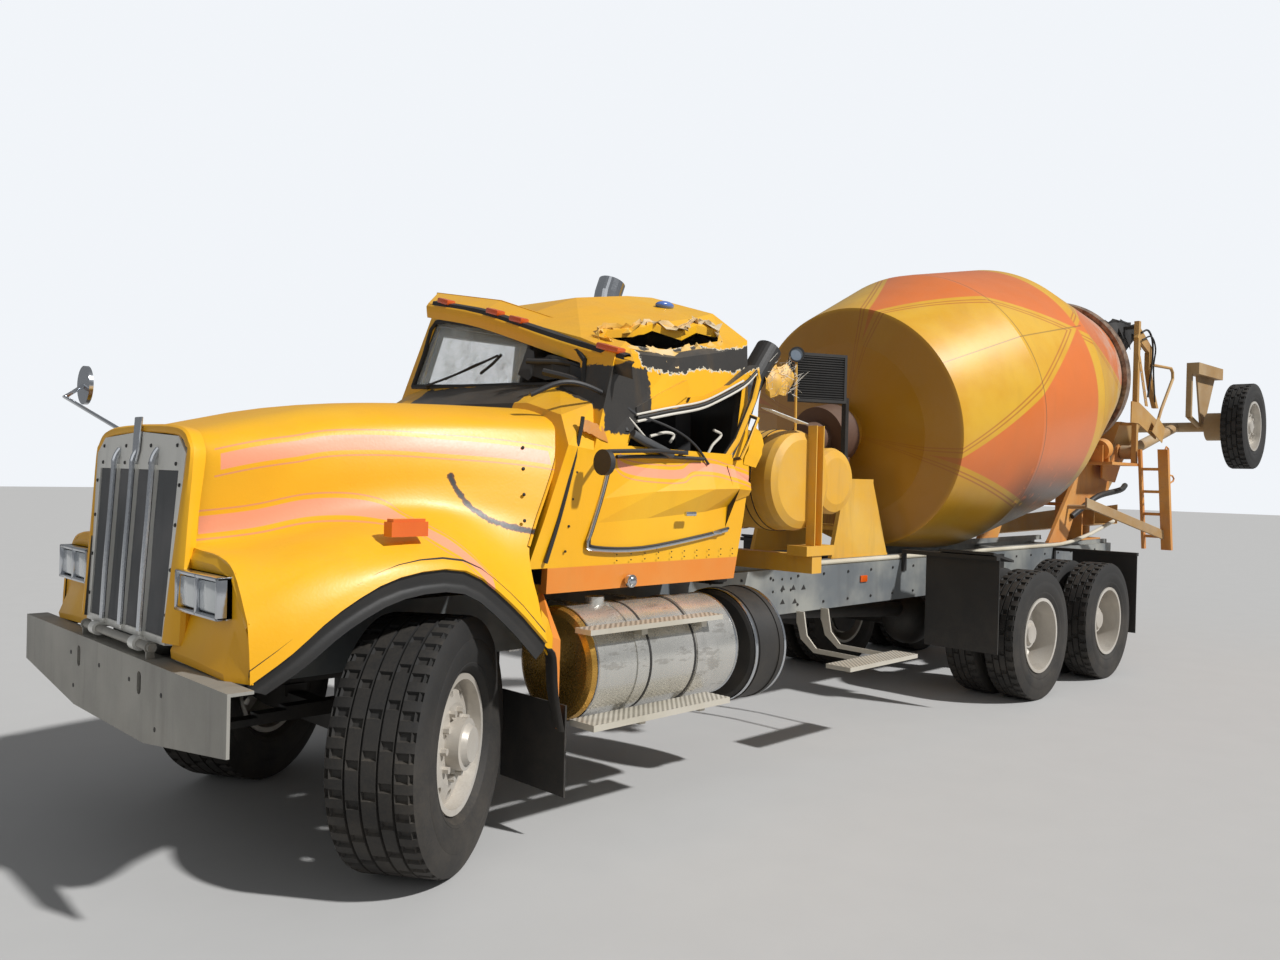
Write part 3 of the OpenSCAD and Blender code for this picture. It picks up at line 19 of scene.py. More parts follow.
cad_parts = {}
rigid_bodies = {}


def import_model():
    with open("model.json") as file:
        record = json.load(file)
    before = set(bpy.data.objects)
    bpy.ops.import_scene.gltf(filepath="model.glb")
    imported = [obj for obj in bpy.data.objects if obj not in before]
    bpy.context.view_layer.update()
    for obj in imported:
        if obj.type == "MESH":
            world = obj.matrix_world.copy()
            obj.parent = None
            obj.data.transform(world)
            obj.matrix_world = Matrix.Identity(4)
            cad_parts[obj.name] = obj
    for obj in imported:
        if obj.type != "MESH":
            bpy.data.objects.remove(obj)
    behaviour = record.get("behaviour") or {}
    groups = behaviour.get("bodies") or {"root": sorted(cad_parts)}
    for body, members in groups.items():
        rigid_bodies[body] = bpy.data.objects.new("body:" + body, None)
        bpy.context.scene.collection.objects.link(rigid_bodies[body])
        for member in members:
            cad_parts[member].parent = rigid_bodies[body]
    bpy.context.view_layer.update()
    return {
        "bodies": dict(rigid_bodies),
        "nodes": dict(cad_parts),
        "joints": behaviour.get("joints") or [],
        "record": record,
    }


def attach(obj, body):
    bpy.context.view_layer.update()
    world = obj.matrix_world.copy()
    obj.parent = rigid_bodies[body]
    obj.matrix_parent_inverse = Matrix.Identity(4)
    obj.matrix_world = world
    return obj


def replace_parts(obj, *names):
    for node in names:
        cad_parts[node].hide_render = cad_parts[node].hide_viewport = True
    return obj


LOG = logging.getLogger("mixer_truck")

Colour = tuple[float, float, float]
Point = Sequence[float]
Pair = tuple[float, float]
Triple = tuple[float, float, float]
Line = tuple[Pair, ...]

# The row frame's origin, counted from the front axle and the middle of the axle
ORIGIN = Vector((-5.4675, 0.016412, 0.0))
DRUM_TILT = math.radians(10.85)
DRUM_AXIS_FOOT = Vector((-3.0, 0.0, 1.83))


def at(x: float, y: float, z: float) -> Vector:
    """A point counted from the front axle, in the row frame."""
    return Vector((x, y, z)) - ORIGIN


class Side(Enum):
    """The truck's left and right side."""

    LEFT = 1
    RIGHT = -1

    @property
    def word(self) -> str:
        """The side's name in the names of nodes and bodies."""
        return self.name.lower()


SIDES = tuple(side.value for side in Side)


class Dirt(Enum):
    """What lies on a surface: its colour, how rough it is, and how high above the ground it reaches."""

    DUST = ((0.3, 0.24, 0.17), 0.95, 1.1)
    CEMENT = ((0.42, 0.37, 0.29), 0.9, 9.0)


class Channel:
    """One output of a material's nodes; arithmetic on it adds Math nodes."""

    def __init__(self, tree: "Tree", socket: bpy.types.NodeSocket) -> None:
        """Keeps the socket with the tree that it belongs to."""
        self.tree = tree
        self.socket = socket

    def maths(self, operation: str, *others: "Channel | float") -> "Channel":
        """The result of a Math node on this value and others."""
        return self.tree.maths(operation, self, *others)

    def __add__(self, other: "Channel | float") -> "Channel":
        """The sum."""
        return self.maths("ADD", other)

    __radd__ = __add__

    def __sub__(self, other: "Channel | float") -> "Channel":
        """The difference."""
        return self.maths("SUBTRACT", other)

    def __rsub__(self, other: float) -> "Channel":
        """The difference from a number."""
        return self.tree.maths("SUBTRACT", other, self)

    def __mul__(self, other: "Channel | float") -> "Channel":
        """The product."""
        return self.maths("MULTIPLY", other)

    __rmul__ = __mul__

    def __truediv__(self, other: "Channel | float") -> "Channel":
        """The quotient."""
        return self.maths("DIVIDE", other)

    def over(self, edge: float, soft: float = 0.0) -> "Channel":
        """A step at an edge.

        Args:
            edge: The value at which the step stands.
            soft: Half the width of a soft step, or 0 for a sharp one.

        Returns:
            1 where the value is above the edge, and 0 below it.
        """
        if not soft:
            return self.maths("GREATER_THAN", edge)
        return self.tree.spread(self, edge - soft, edge + soft)

    def under(self, edge: float, soft: float = 0.0) -> "Channel":
        """1 where the value is below an edge."""
        return 1.0 - self.over(edge, soft)

    def near(self, middle: float, half: float, soft: float = 0.0) -> "Channel":
        """1 where the value is within half of a middle."""
        return (self - middle).maths("ABSOLUTE").under(half, soft)

    def least(self, other: "Channel | float") -> "Channel":
        """The smaller of two values."""
        return self.maths("MINIMUM", other)

    def most(self, other: "Channel | float") -> "Channel":
        """The larger of two values."""
        return self.maths("MAXIMUM", other)


class Tree:
    """A material under construction: every node that is not arithmetic comes from node()."""

    def __init__(self, name: str) -> None:
        """Starts an empty material.

        Args:
            name: The material's name.
        """
        self.material = bpy.data.materials.new(name)
        self.material.use_nodes = True
        self.nodes = self.material.node_tree.nodes
        self.links = self.material.node_tree.links
        self.nodes.clear()
        self.exit = self.nodes.new("ShaderNodeOutputMaterial")
        self.shader = self.nodes.new("ShaderNodeBsdfPrincipled")
        self.links.new(self.shader.outputs[0], self.exit.inputs[0])
        self._place: bpy.types.NodeSocket | None = None
        self._axes: tuple[Channel, Channel, Channel] | None = None

    def feed(self, socket: bpy.types.NodeSocket, value: Any) -> None:
        """Links a channel to a socket, or sets a number or colour on it.

        Args:
            socket: The socket.
            value: A channel, another socket, a number or a colour.
        """
        if isinstance(value, Channel):
            self.links.new(value.socket, socket)
        elif isinstance(value, bpy.types.NodeSocket):
            self.links.new(value, socket)
        elif isinstance(value, (int, float)) or len(value) == len(socket.default_value):
            socket.default_value = value
        else:
            socket.default_value = (*value, 1.0)

    def node(
        self, kind: str, settings: Mapping[str, Any] | None = None, values: Mapping[Any, Any] | None = None,
    ) -> bpy.types.Node:
        """Adds a node.

        Args:
            kind: The node's type.
            settings: Its settings, set before its sockets.
            values: The values or links of its sockets, by name or number.

        Returns:
            The node.
        """
        made = self.nodes.new(kind)
        for key, value in (settings or {}).items():
            setattr(made, key, value)
        for key, value in (values or {}).items():
            self.feed(made.inputs[key], value)
        return made

    def maths(self, operation: str, *terms: Channel | float) -> Channel:
        """A Math node on channels and numbers."""
        made = self.node("ShaderNodeMath", {"operation": operation}, dict(enumerate(terms)))
        return Channel(self, made.outputs[0])

    def spread(self, value: Channel, low: float, high: float) -> Channel:
        """A smooth step from 0 at low to 1 at high."""
        made = self.node(
            "ShaderNodeMapRange", {"interpolation_type": "SMOOTHSTEP"}, {0: value, 1: low, 2: high},
        )
        return Channel(self, made.outputs[0])

    def mix(self, share: Channel | float, first: Any, second: Any) -> Channel:
        """A mixture of two colours."""
        made = self.node("ShaderNodeMix", {"data_type": "RGBA"}, {0: share, 6: first, 7: second})
        return Channel(self, made.outputs[2])

    @property
    def place(self) -> bpy.types.NodeSocket:
        """The object coordinates, which are the row frame's at rest."""
        if self._place is None:
            self._place = self.node("ShaderNodeTexCoord").outputs["Object"]
        return self._place

    @property
    def axes(self) -> tuple[Channel, Channel, Channel]:
        """The row frame's X, Y and Z, counted from the front axle."""
        if self._axes is None:
            cut = self.node("ShaderNodeSeparateXYZ", None, {0: self.place})
            self._axes = tuple(Channel(self, cut.outputs[i]) + ORIGIN[i] for i in range(3))
        return self._axes

    def noise(
        self, scale: float, detail: float = 3.0, rough: float = 0.55, stretch: Point | None = None,
    ) -> Channel:
        """Fractal noise.

        Args:
            scale: The noise's scale.
            detail: The number of its octaves.
            rough: The weight of the finer octaves.
            stretch: Factors on the three coordinates, where the noise is stretched.

        Returns:
            The noise from 0 to 1, about 0.5.
        """
        vector = self.place
        if stretch is not None:
            vector = self.node("ShaderNodeMapping", None, {0: self.place, 3: stretch}).outputs[0]
        made = self.node(
            "ShaderNodeTexNoise", None,
            {"Vector": vector, "Scale": scale, "Detail": detail, "Roughness": rough},
        )
        return Channel(self, made.outputs[0])

    def up(self) -> Channel:
        """How far a face looks up, from -1 to 1."""
        normal = self.node("ShaderNodeNewGeometry").outputs["Normal"]
        return Channel(self, self.node("ShaderNodeSeparateXYZ", None, {0: normal}).outputs[2])

    def inward(self, x: float, y: float, z: float) -> Channel:
        """Tells the inside of a shell from its outside.

        Args:
            x: The station of a point inside, from the front axle.
            y: Its distance from the middle.
            z: Its height.

        Returns:
            1 on faces that look towards the point.
        """
        normal = self.node("ShaderNodeTexCoord").outputs["Normal"]
        away = self.node(
            "ShaderNodeVectorMath", {"operation": "SUBTRACT"}, {0: self.place, 1: tuple(at(x, y, z))},
        )
        dot = self.node("ShaderNodeVectorMath", {"operation": "DOT_PRODUCT"}, {0: normal, 1: away.outputs[0]})
        return Channel(self, dot.outputs["Value"]).under(0.0)

    def beside(self, line: Sequence[Pair]) -> Channel:
        """Measures from a broken line, seen from the side.

        Args:
            line: The line's stations and heights.

        Returns:
            The distance from the line.
        """
        x, _, z = self.axes
        nearest: Channel | None = None
        for (x0, z0), (x1, z1) in zip(line, line[1:]):
            run, rise = x1 - x0, z1 - z0
            share = ((x - x0) * run + (z - z0) * rise) / (run * run + rise * rise)
            share = share.most(0.0).least(1.0)
            across, over = x - x0 - share * run, z - z0 - share * rise
            gap = (across * across + over * over).maths("SQRT")
            nearest = gap if nearest is None else nearest.least(gap)
        return nearest

    def inside(self, low: Point, high: Point, soft: float = 0.004) -> Channel:
        """Picks out a box with ragged sides.

        Args:
            low: Its lowest corner, from the front axle.
            high: Its highest corner.
            soft: Half the width of its soft edges.

        Returns:
            1 in the box, and 0 outside it.
        """
        share: Channel | None = None
        sway = (self.noise(9, 3, 0.7) - 0.5) * 0.1
        for axis, bottom, top in zip(self.axes, low, high):
            part = (axis + sway).over(bottom, soft) * (axis + sway).under(top, soft)
            share = part if share is None else share * part
        return share

    def bump(self, height: Channel, strength: float, distance: float) -> Channel:
        """A normal from a height."""
        values = {"Height": height, "Strength": strength, "Distance": distance}
        return Channel(self, self.node("ShaderNodeBump", None, values).outputs[0])

    def finish(self, **sockets: Any) -> bpy.types.Material:
        """Feeds the shader's sockets, named in small letters with underscores, and returns the material."""
        for key, value in sockets.items():
            self.feed(self.shader.inputs[key.replace("_", " ").title().replace("Ior", "IOR")], value)
        return self.material


@dataclass(frozen=True)
class Finish:
    """A finish with wear, from which the others are made.

    The wear is the share of a surface that is chipped through to rust, and dirt settles on faces that look up
    and near the ground.
    """

    name: str
    colour: Colour
    faded: Colour | None = None
    rough: float = 0.5
    metal: float = 0.0
    wear: float = 0.1
    rust: Colour = (0.13, 0.045, 0.02)
    dirt: Dirt = Dirt.DUST
    dirt_share: float = 0.4
    grain: float = 0.3
    grain_scale: float = 90.0
    streaks: float = 0.3
    coat: float = 0.0

    made: ClassVar[dict[str, bpy.types.Material]] = {}
    fade_steps: ClassVar[Pair] = (0.38, 0.68)
    chip_edge: ClassVar[float] = 0.74
    chip_span: ClassVar[float] = 0.18
    most_dirt: ClassVar[float] = 0.9
    bump_strength: ClassVar[float] = 0.35
    bump_depth: ClassVar[float] = 0.004
    coat_rough: ClassVar[float] = 0.25

    def material(self) -> bpy.types.Material:
        """The finish's material, made once."""
        if self.name not in Finish.made:
            Finish.made[self.name] = self.build(Tree(self.name))
        return Finish.made[self.name]

    def paint(self, tree: Tree) -> Channel:
        """The clean colour, which fades in broad patches."""
        second = self.faded or tuple(min(1.0, c * 1.15 + 0.015) for c in self.colour)
        return tree.mix(tree.spread(tree.noise(1.7, 4), *self.fade_steps), self.colour, second)

    def build(self, tree: Tree) -> bpy.types.Material:
        """Lays streaks, chips and dirt over the paint.

        Args:
            tree: The empty material.

        Returns:
            The material.
        """
        base = self.paint(tree)
        fine = tree.noise(self.grain_scale, 2, 0.6)
        broad = tree.noise(5.5, 5, 0.62)
        if self.streaks:
            runs = tree.spread(tree.noise(9, 3, 0.6, (1.0, 1.0, 0.12)), 0.5, 0.78) * self.streaks
            base = tree.mix(runs, base, tuple(c * 0.42 + 0.02 for c in self.colour))
        chips = None
        if self.wear:
            edge = self.chip_edge - self.chip_span * self.wear
            chips = (tree.noise(26, 5, 0.68) * 0.6 + broad * 0.4).over(edge, 0.012)
            base = tree.mix(chips, base, tree.mix(fine, self.rust, tuple(c * 2.2 for c in self.rust)))
        tint, dirt_rough, reach = self.dirt.value
        low = tree.spread(tree.axes[2], reach, 0.25)
        flat = tree.spread(tree.up(), 0.35, 0.95)
        patches = tree.spread(broad, 0.25, 0.85) * 0.7 + 0.3 * tree.spread(fine, 0.3, 0.7)
        dust = ((low * 0.55 + flat * 0.5 + 0.1) * patches * self.dirt_share * 1.5).least(self.most_dirt)
        base = tree.mix(dust, base, tint)
        rough = self.rough + (fine - 0.5) * 0.12 + dust * (dirt_rough - self.rough)
        metal: Channel | float = self.metal
        if chips is not None:
            rough = rough + chips * 0.3
            if self.metal:
                metal = (1.0 - chips) * (1.0 - dust) * self.metal
        elif self.metal:
            metal = (1.0 - dust) * self.metal
        height = fine * self.grain + broad * 0.5
        if chips is not None:
            height = height - chips * 0.6
        return tree.finish(
            base_color=base, roughness=rough.least(1.0), metallic=metal,
            normal=tree.bump(height, self.bump_strength, self.bump_depth), coat_weight=self.coat,
            coat_roughness=self.coat_rough,
        )


@dataclass(frozen=True)
class Enamel(Finish):
    """Yellow enamel with pale scrapes, salmon bands along the sides and near-black painted shade.

    Each band is given by its middle line, as stations with heights, and by its half width.
    """

    band: Colour = (0.86, 0.33, 0.19)
    bands: tuple[tuple[Line, float], ...] = ()
    scrapes: float = 0.25
    scrape_paint: Colour = (0.62, 0.56, 0.44)
    inner: Triple | None = None
    # Near-black painted shade, laid in the dark boxes, in the gap of a tear and on faces that look inward.
    painted_shade_black: Colour = (0.03, 0.028, 0.026)
    sill: Pair | None = None
    sill_paint: Colour = (0.74, 0.2, 0.01)
    sill_faded: Colour = (0.7, 0.27, 0.05)
    # Boxes painted near black as painted shade over recesses and openings.
    dark: tuple[tuple[Point, Point], ...] = ()
    tear: Line = ()
    tear_half: float = 0.006
    tear_side: float = 0.3
    # The default rim colour is a painted shadow along the tear; a pale rim stands for the bare torn edge.
    tear_edge: Colour = (0.1, 0.035, 0.012)

    def paint(self, tree: Tree) -> Channel:
        """Lays scrapes, bands, the sill, the tear and painted shade over the yellow.

        Args:
            tree: The material's tree.

        Returns:
            The colour.
        """
        base = super().paint(tree)
        scratch = tree.noise(14, 4, 0.7, (0.35, 1.0, 2.4)).over(0.8 - 0.12 * self.scrapes, 0.01)
        base = tree.mix(scratch * 0.6, base, self.scrape_paint)
        x, y, z = tree.axes
        for line, half in self.bands:
            start, end = line[0][0], line[-1][0]
            off = (z - self.along(tree, line)).maths("ABSOLUTE")
            inside = x.over(start) * x.under(end)
            base = tree.mix(off.under(half, 0.002) * inside, base, self.band)
            rim = off.near(half + 0.022, 0.0035, 0.0015) * x.over(start - 0.03) * x.under(end + 0.02)
            base = tree.mix(rim * 0.8, base, tuple(c * 0.8 for c in self.band))
        if self.sill is not None:
            height, front = self.sill
            low = z.under(height, 0.003) * x.under(front) * y.maths("ABSOLUTE").over(0.9)
            base = tree.mix(low, base, tree.mix(tree.noise(6, 3), self.sill_paint, self.sill_faded))
        # Painted shade: near-black boxes where recesses and openings lie in shade.
        for low_corner, high_corner in self.dark:
            base = tree.mix(tree.inside(low_corner, high_corner), base, self.painted_shade_black)
        # A tear is painted: its gap is near-black painted shade, its rim a painted shadow where the rim
        # colour is dark and the bare edge where it is pale.
        if self.tear:
            gap = tree.beside(self.tear) + (tree.noise(24, 4, 0.7) - 0.5) * (0.03 + self.tear_half)
            side = y.over(self.tear_side)
            base = tree.mix(gap.under(self.tear_half + 0.008, 0.003) * side, base, self.tear_edge)
            base = tree.mix(gap.under(self.tear_half, 0.001) * side, base, self.painted_shade_black)
        # Painted shade on faces that look inward, such as a shell's inside and its undersides.
        if self.inner is not None:
            base = tree.mix(tree.inward(*self.inner), base, self.painted_shade_black)
        return base

    @staticmethod
    def along(tree: Tree, line: Sequence[Pair]) -> Channel:
        """Draws a band's middle line as a curve.

        Args:
            tree: The material's tree.
            line: The line's stations and heights.

        Returns:
            The line's height at each station.
        """
        low, high = line[0][0], line[-1][0]
        bottom = min(p[1] for p in line)
        top = max(p[1] for p in line) + 1e-6
        share = (tree.axes[0] - low) / (high - low)
        curve = tree.node("ShaderNodeFloatCurve", None, {1: share})
        points = curve.mapping.curves[0].points
        for k, (station, height) in enumerate(line):
            spot = ((station - low) / (high - low), (height - bottom) / (top - bottom))
            if k in (0, len(line) - 1):
                points[0 if k == 0 else -1].location = spot
            else:
                points.new(*spot)
        curve.mapping.update()
        return Channel(tree, curve.outputs[0]) * (top - bottom) + bottom


@dataclass(frozen=True)
class DrumEnamel(Finish):
    """The drum's yellow, with forward-pointing orange wedges in double outlines, and painted shade on its
    head and belly.

    The wedges are placed by the distance along the drum's axis and the angle round it.
    """

    wedge: Colour = (0.62, 0.145, 0.02)
    tip: float = 1.57
    base_end: float = 3.65
    rear_tip: float = 3.63
    first_turn: float = 16.0
    rear_end: float = 5.6
    head_end: float = 1.645
    spacing: float = 90.0
    seam: float = 2.592
    side_seam: float = 60.0
    ring: float = 5.5
    seam_paint: Colour = (0.16, 0.08, 0.03)
    chalk: Colour = (0.62, 0.55, 0.47)
    # The head colour is painted shade: the front head is darkened as if it stood in shade.
    painted_head_shade: Colour = (0.3, 0.115, 0.002)
    # Near-black tint for the drum's lower side: painted shade under the dented belly, mixed with real dirt.
    shade_and_dirt_tint: Colour = (0.045, 0.028, 0.015)
    ring_tints: tuple[Colour, Colour] = ((0.085, 0.045, 0.025), (0.26, 0.17, 0.11))

    def turn(self, tree: Tree) -> tuple[Channel, Channel, Channel]:
        """Turns the coordinates into the drum's own.

        Args:
            tree: The material's tree.

        Returns:
            The distance along the axis, the angle in degrees from the top, and the distance from the axis.
        """
        x, y, z = tree.axes
        cos, sin = math.cos(DRUM_TILT), math.sin(DRUM_TILT)
        back = (x - DRUM_AXIS_FOOT.x) * -cos + (z - DRUM_AXIS_FOOT.z) * sin
        rise = (x - DRUM_AXIS_FOOT.x) * sin + (z - DRUM_AXIS_FOOT.z) * cos
        angle = y.maths("ARCTAN2", rise) * (180.0 / math.pi)
        reach = (y * y + rise * rise).maths("SQRT")
        return back, angle, reach

    def wedge_edge(self, back: Channel, angle: Channel, tip: float, middle: float, slope: float) -> Channel:
        """How far a point is inside one of the wedges round the drum, in degrees."""
        off = (
            (angle - middle + 4.5 * self.spacing).maths("MODULO", self.spacing) - self.spacing / 2
        ).maths("ABSOLUTE")
        return (back - tip) * slope - off

    def paint(self, tree: Tree) -> Channel:
        """Lays wedges, outlines, weld seams, weathering and painted shade over the yellow.

        Args:
            tree: The material's tree.

        Returns:
            The colour.
        """
        base = super().paint(tree)
        back, angle, reach = self.turn(tree)
        slope = self.spacing / 2 / (self.rear_tip - self.tip)
        line = tuple(c * 0.72 for c in self.wedge)
        for tip, middle, grade, start, end in (
            (self.tip, self.first_turn, slope, 0.0, self.base_end),
            (self.rear_tip, self.first_turn + self.spacing / 2, slope * 0.95, self.base_end, self.rear_end),
        ):
            inside = self.wedge_edge(back, angle, tip, middle, grade)
            zone = back.over(start) * back.under(end, 0.006)
            colour = tree.mix(tree.noise(2.2, 3), self.wedge, tuple(c * 1.25 for c in self.wedge))
            base = tree.mix(inside.over(0.0, 0.25) * zone, base, colour)
            for gap in (-2.6, -4.4):
                base = tree.mix(inside.near(gap, 0.35, 0.2) * zone * 0.75, base, line)
        seam = back.near(self.seam, 0.006, 0.004) * 0.8
        side_seam = angle.near(self.side_seam, 0.25, 0.15) * back.over(1.65) * back.under(3.75) * 0.6
        base = tree.mix(seam.most(side_seam), base, self.seam_paint)
        pale = tree.spread(back, 4.0, 5.3) * tree.spread(tree.noise(3, 5, 0.65), 0.35, 0.62)
        base = tree.mix(pale * 0.65, base, self.chalk)
        # Painted shade over the front head.
        head = back.under(self.head_end, 0.01)
        base = tree.mix(head * 0.72, base, self.painted_head_shade)
        # Darker towards the drum's lower side in patches: painted shade of the dented belly, with dirt.
        lower = tree.spread(
            tree.axes[2], 2.0, 1.62,
        ) * tree.spread(back, 2.2, 2.7) * tree.spread(back, 4.3, 3.8)
        shade_and_dirt = tree.spread(tree.noise(6, 5, 0.7), 0.28, 0.44) * lower
        base = tree.mix(shade_and_dirt * 0.93, base, self.shade_and_dirt_tint)
        ring = back.near(self.ring, 0.075, 0.01) * reach.over(0.7)
        rusty = tree.mix(tree.spread(tree.noise(12, 4, 0.65), 0.35, 0.65), *self.ring_tints)
        return tree.mix(ring, base, rusty)


@dataclass(frozen=True)
class TankSkin(Finish):
    """Polished metal whose front end is painted."""

    end: float = -0.8
    end_paint: Colour = (0.62, 0.33, 0.05)
    end_faded: Colour = (0.5, 0.3, 0.08)
    scratch_tint: Colour = (0.22, 0.2, 0.17)

    def paint(self, tree: Tree) -> Channel:
        """Lays thin scratches and the painted end over the metal.

        Args:
            tree: The material's tree.

        Returns:
            The colour.
        """
        base = super().paint(tree)
        scratch = tree.noise(11, 5, 0.75, (0.3, 1.0, 1.0)).over(0.6, 0.02)
        base = tree.mix(scratch * 0.35, base, self.scratch_tint)
        painted = tree.mix(tree.noise(5, 3), self.end_paint, self.end_faded)
        return tree.mix(tree.axes[0].over(self.end, 0.004), base, painted)


@dataclass(frozen=True)
class Tread(Finish):
    """Pale metal with rows of raised holes, as on steps."""

    pitch: float = 0.034
    # The hole colour is painted shade seen through the perforations.
    hole: Colour = (0.045, 0.04, 0.035)
    lip: Colour = (0.85, 0.83, 0.78)

    def paint(self, tree: Tree) -> Channel:
        """Lays dark holes, painted shade in the perforations, and bright edges over the metal.

        Args:
            tree: The material's tree.

        Returns:
            The colour.
        """
        x, y, _ = tree.axes
        turn = 2 * math.pi / self.pitch
        dots = (x * turn).maths("SINE") * (y * turn).maths("SINE")
        flat = tree.up().over(0.8)
        # Painted shade in the perforations, on faces that look up.
        base = tree.mix(dots.over(0.42, 0.08) * flat, super().paint(tree), self.hole)
        return tree.mix(dots.under(-0.55, 0.08) * flat * 0.5, base, self.lip)


@dataclass(frozen=True)
class Plain(Finish):
    """A finish without chips or streaks, for rubber, plastic and glass trim."""

    wear: float = 0.0
    streaks: float = 0.0


@dataclass(frozen=True)
class Glazing:
    """Clear or tinted glass with a thin film of dust."""

    name: str
    tint: Colour = (0.86, 0.93, 0.92)
    film: Colour = (0.6, 0.57, 0.5)
    rough: float = 0.06
    made: ClassVar[dict[str, bpy.types.Material]] = {}

    def material(self) -> bpy.types.Material:
        """The glass's material, made once."""
        if self.name not in Glazing.made:
            tree = Tree(self.name)
            film = tree.spread(tree.noise(7, 5, 0.65), 0.45, 0.8)
            Glazing.made[self.name] = tree.finish(
                base_color=tree.mix(film * 0.5, self.tint, self.film), roughness=self.rough + film * 0.25,
                alpha=film * 0.25 + 0.22, transmission_weight=0.35, ior=1.45,
            )
        return Glazing.made[self.name]


YELLOW: Colour = (0.82, 0.4, 0.004)
CAB_YELLOW = Enamel(
    "cab_yellow", YELLOW, (0.84, 0.45, 0.012), rough=0.38, wear=0.12, dirt_share=0.26, coat=0.08, streaks=0.1,
    # The dark boxes are painted shade: the cowl recess before the windscreen and the crushed pillar opening.
    dark=(((-0.99, -0.62, 2.05), (-0.7, 0.46, 2.27)), ((-1.3, 0.58, 1.93), (-0.95, 1.2, 2.275))),
    # The roof tear's gap is near-black painted shade; its pale rim is the bare torn edge.
    tear=((-1.3, 2.345), (-1.5, 2.33), (-1.75, 2.385), (-2.0, 2.385), (-2.2, 2.43)), tear_half=0.062,
    tear_side=0.72,
    tear_edge=(0.66, 0.6, 0.46),
    # Faces that look inward, inside the cab shell and under the visor, get painted shade.
    inner=(-1.35, 0.0, 2.0), sill=(1.272, -0.585),
    bands=(
        (((-2.12, 1.7), (-1.9, 1.745), (-1.62, 1.775), (-1.5, 1.735), (-1.4, 1.73), (-1.05, 1.785)), 0.024),
    ),
)
BONNET_YELLOW = Enamel(
    "bonnet_yellow", YELLOW, (0.84, 0.44, 0.008), rough=0.42, wear=0.05, dirt_share=0.14, coat=0.04,
    streaks=0.06,
    # The bonnet's tear is painted: a near-black line of painted shade with a dark painted shadow along it.
    tear=((-0.15, 1.7), (-0.172, 1.64), (-0.215, 1.575), (-0.3, 1.505), (-0.41, 1.468), (-0.53, 1.445)),
    # Faces that look inward, under the bonnet and inside the wheel arches, get painted shade.
    inner=(0.0, 0.0, 1.15),
    bands=(
        (((-0.66, 1.795), (-0.4, 1.82), (-0.16, 1.83), (0.2, 1.838), (0.51, 1.797), (0.775, 1.738)), 0.033),
        (
            (
                (-0.15, 1.235), (-0.03, 1.375), (0.08, 1.465), (0.18, 1.54), (0.38, 1.56), (0.69, 1.5),
                (0.84, 1.48),
            ),
            0.036,
        ),
    ),
)
FRAME_PAINT = Finish(
    "frame_paint", (0.13, 0.145, 0.155), (0.3, 0.305, 0.28), rough=0.5, wear=0.3, dirt_share=0.4,
)
BLACK_STEEL = Finish(
    "black_steel", (0.012, 0.012, 0.012), (0.025, 0.023, 0.021), rough=0.55, wear=0.25, dirt_share=0.16,
)
BUMPER_STEEL = Finish(
    "bumper_steel", (0.31, 0.3, 0.27), (0.4, 0.385, 0.345), rough=0.5, metal=0.35, wear=0.05, dirt_share=0.25,
    streaks=0.4,
)
BRIGHT_STEEL = Finish(
    "bright_steel", (0.55, 0.57, 0.6), rough=0.16, metal=1.0, wear=0.0, dirt_share=0.12, streaks=0.1,
    grain=0.06,
)
PALE_STEEL = Finish(
    "pale_steel", (0.76, 0.75, 0.7), (0.82, 0.81, 0.76), rough=0.35, metal=0.2, wear=0.03, dirt_share=0.2,
    grain=0.1,
)
WIRE = Finish(
    "grille_wire", (0.1, 0.105, 0.11), (0.15, 0.15, 0.155), rough=0.4, metal=0.6, wear=0.0, dirt_share=0.3,
    streaks=0.4,
)
ALUMINIUM = TankSkin(
    "aluminium", (0.6, 0.59, 0.55), (0.72, 0.7, 0.66), rough=0.24, metal=0.75, wear=0.0, dirt_share=0.14,
    grain=0.25, streaks=0.25,
)
STEP_METAL = Tread(
    "step_metal", (0.53, 0.49, 0.4), (0.62, 0.58, 0.5), rough=0.4, metal=0.3, wear=0.0, dirt_share=0.15,
    grain=0.25, streaks=0.15,
)
DRUM_YELLOW = DrumEnamel(
    "drum_enamel", (0.66, 0.33, 0.006), (0.72, 0.41, 0.025), rough=0.34, wear=0.05, dirt=Dirt.CEMENT,
    dirt_share=0.07, coat=0.25, streaks=0.08,
)
ORANGE = Finish(
    "orange_paint", (0.55, 0.19, 0.018), (0.66, 0.29, 0.045), rough=0.5, wear=0.5, dirt=Dirt.CEMENT,
    dirt_share=0.3,
)
WORN_YELLOW = Finish(
    "worn_yellow", (0.7, 0.36, 0.02), (0.74, 0.43, 0.06), rough=0.45, wear=0.3, dirt=Dirt.CEMENT,
    dirt_share=0.22,
)
OCHRE = Finish(
    "ochre_paint", (0.42, 0.2, 0.03), (0.52, 0.3, 0.08), rough=0.55, wear=0.45, dirt=Dirt.CEMENT,
    dirt_share=0.4,
)
TYRE = Plain("tyre_rubber", (0.01, 0.01, 0.01), (0.02, 0.019, 0.018), rough=0.75, dirt_share=0.14)
SHEET_RUBBER = Plain("sheet_rubber", (0.012, 0.012, 0.012), (0.022, 0.021, 0.02), rough=0.6, dirt_share=0.14)
TRIM = Plain("dark_trim", (0.016, 0.016, 0.018), (0.028, 0.028, 0.028), rough=0.55, dirt_share=0.15)
SEAL = Plain("pale_seal", (0.62, 0.58, 0.5), (0.7, 0.67, 0.6), rough=0.6, dirt_share=0.25)
LINING = Plain("roof_lining", (0.1, 0.095, 0.07), (0.15, 0.14, 0.105), rough=0.9, dirt_share=0.3)
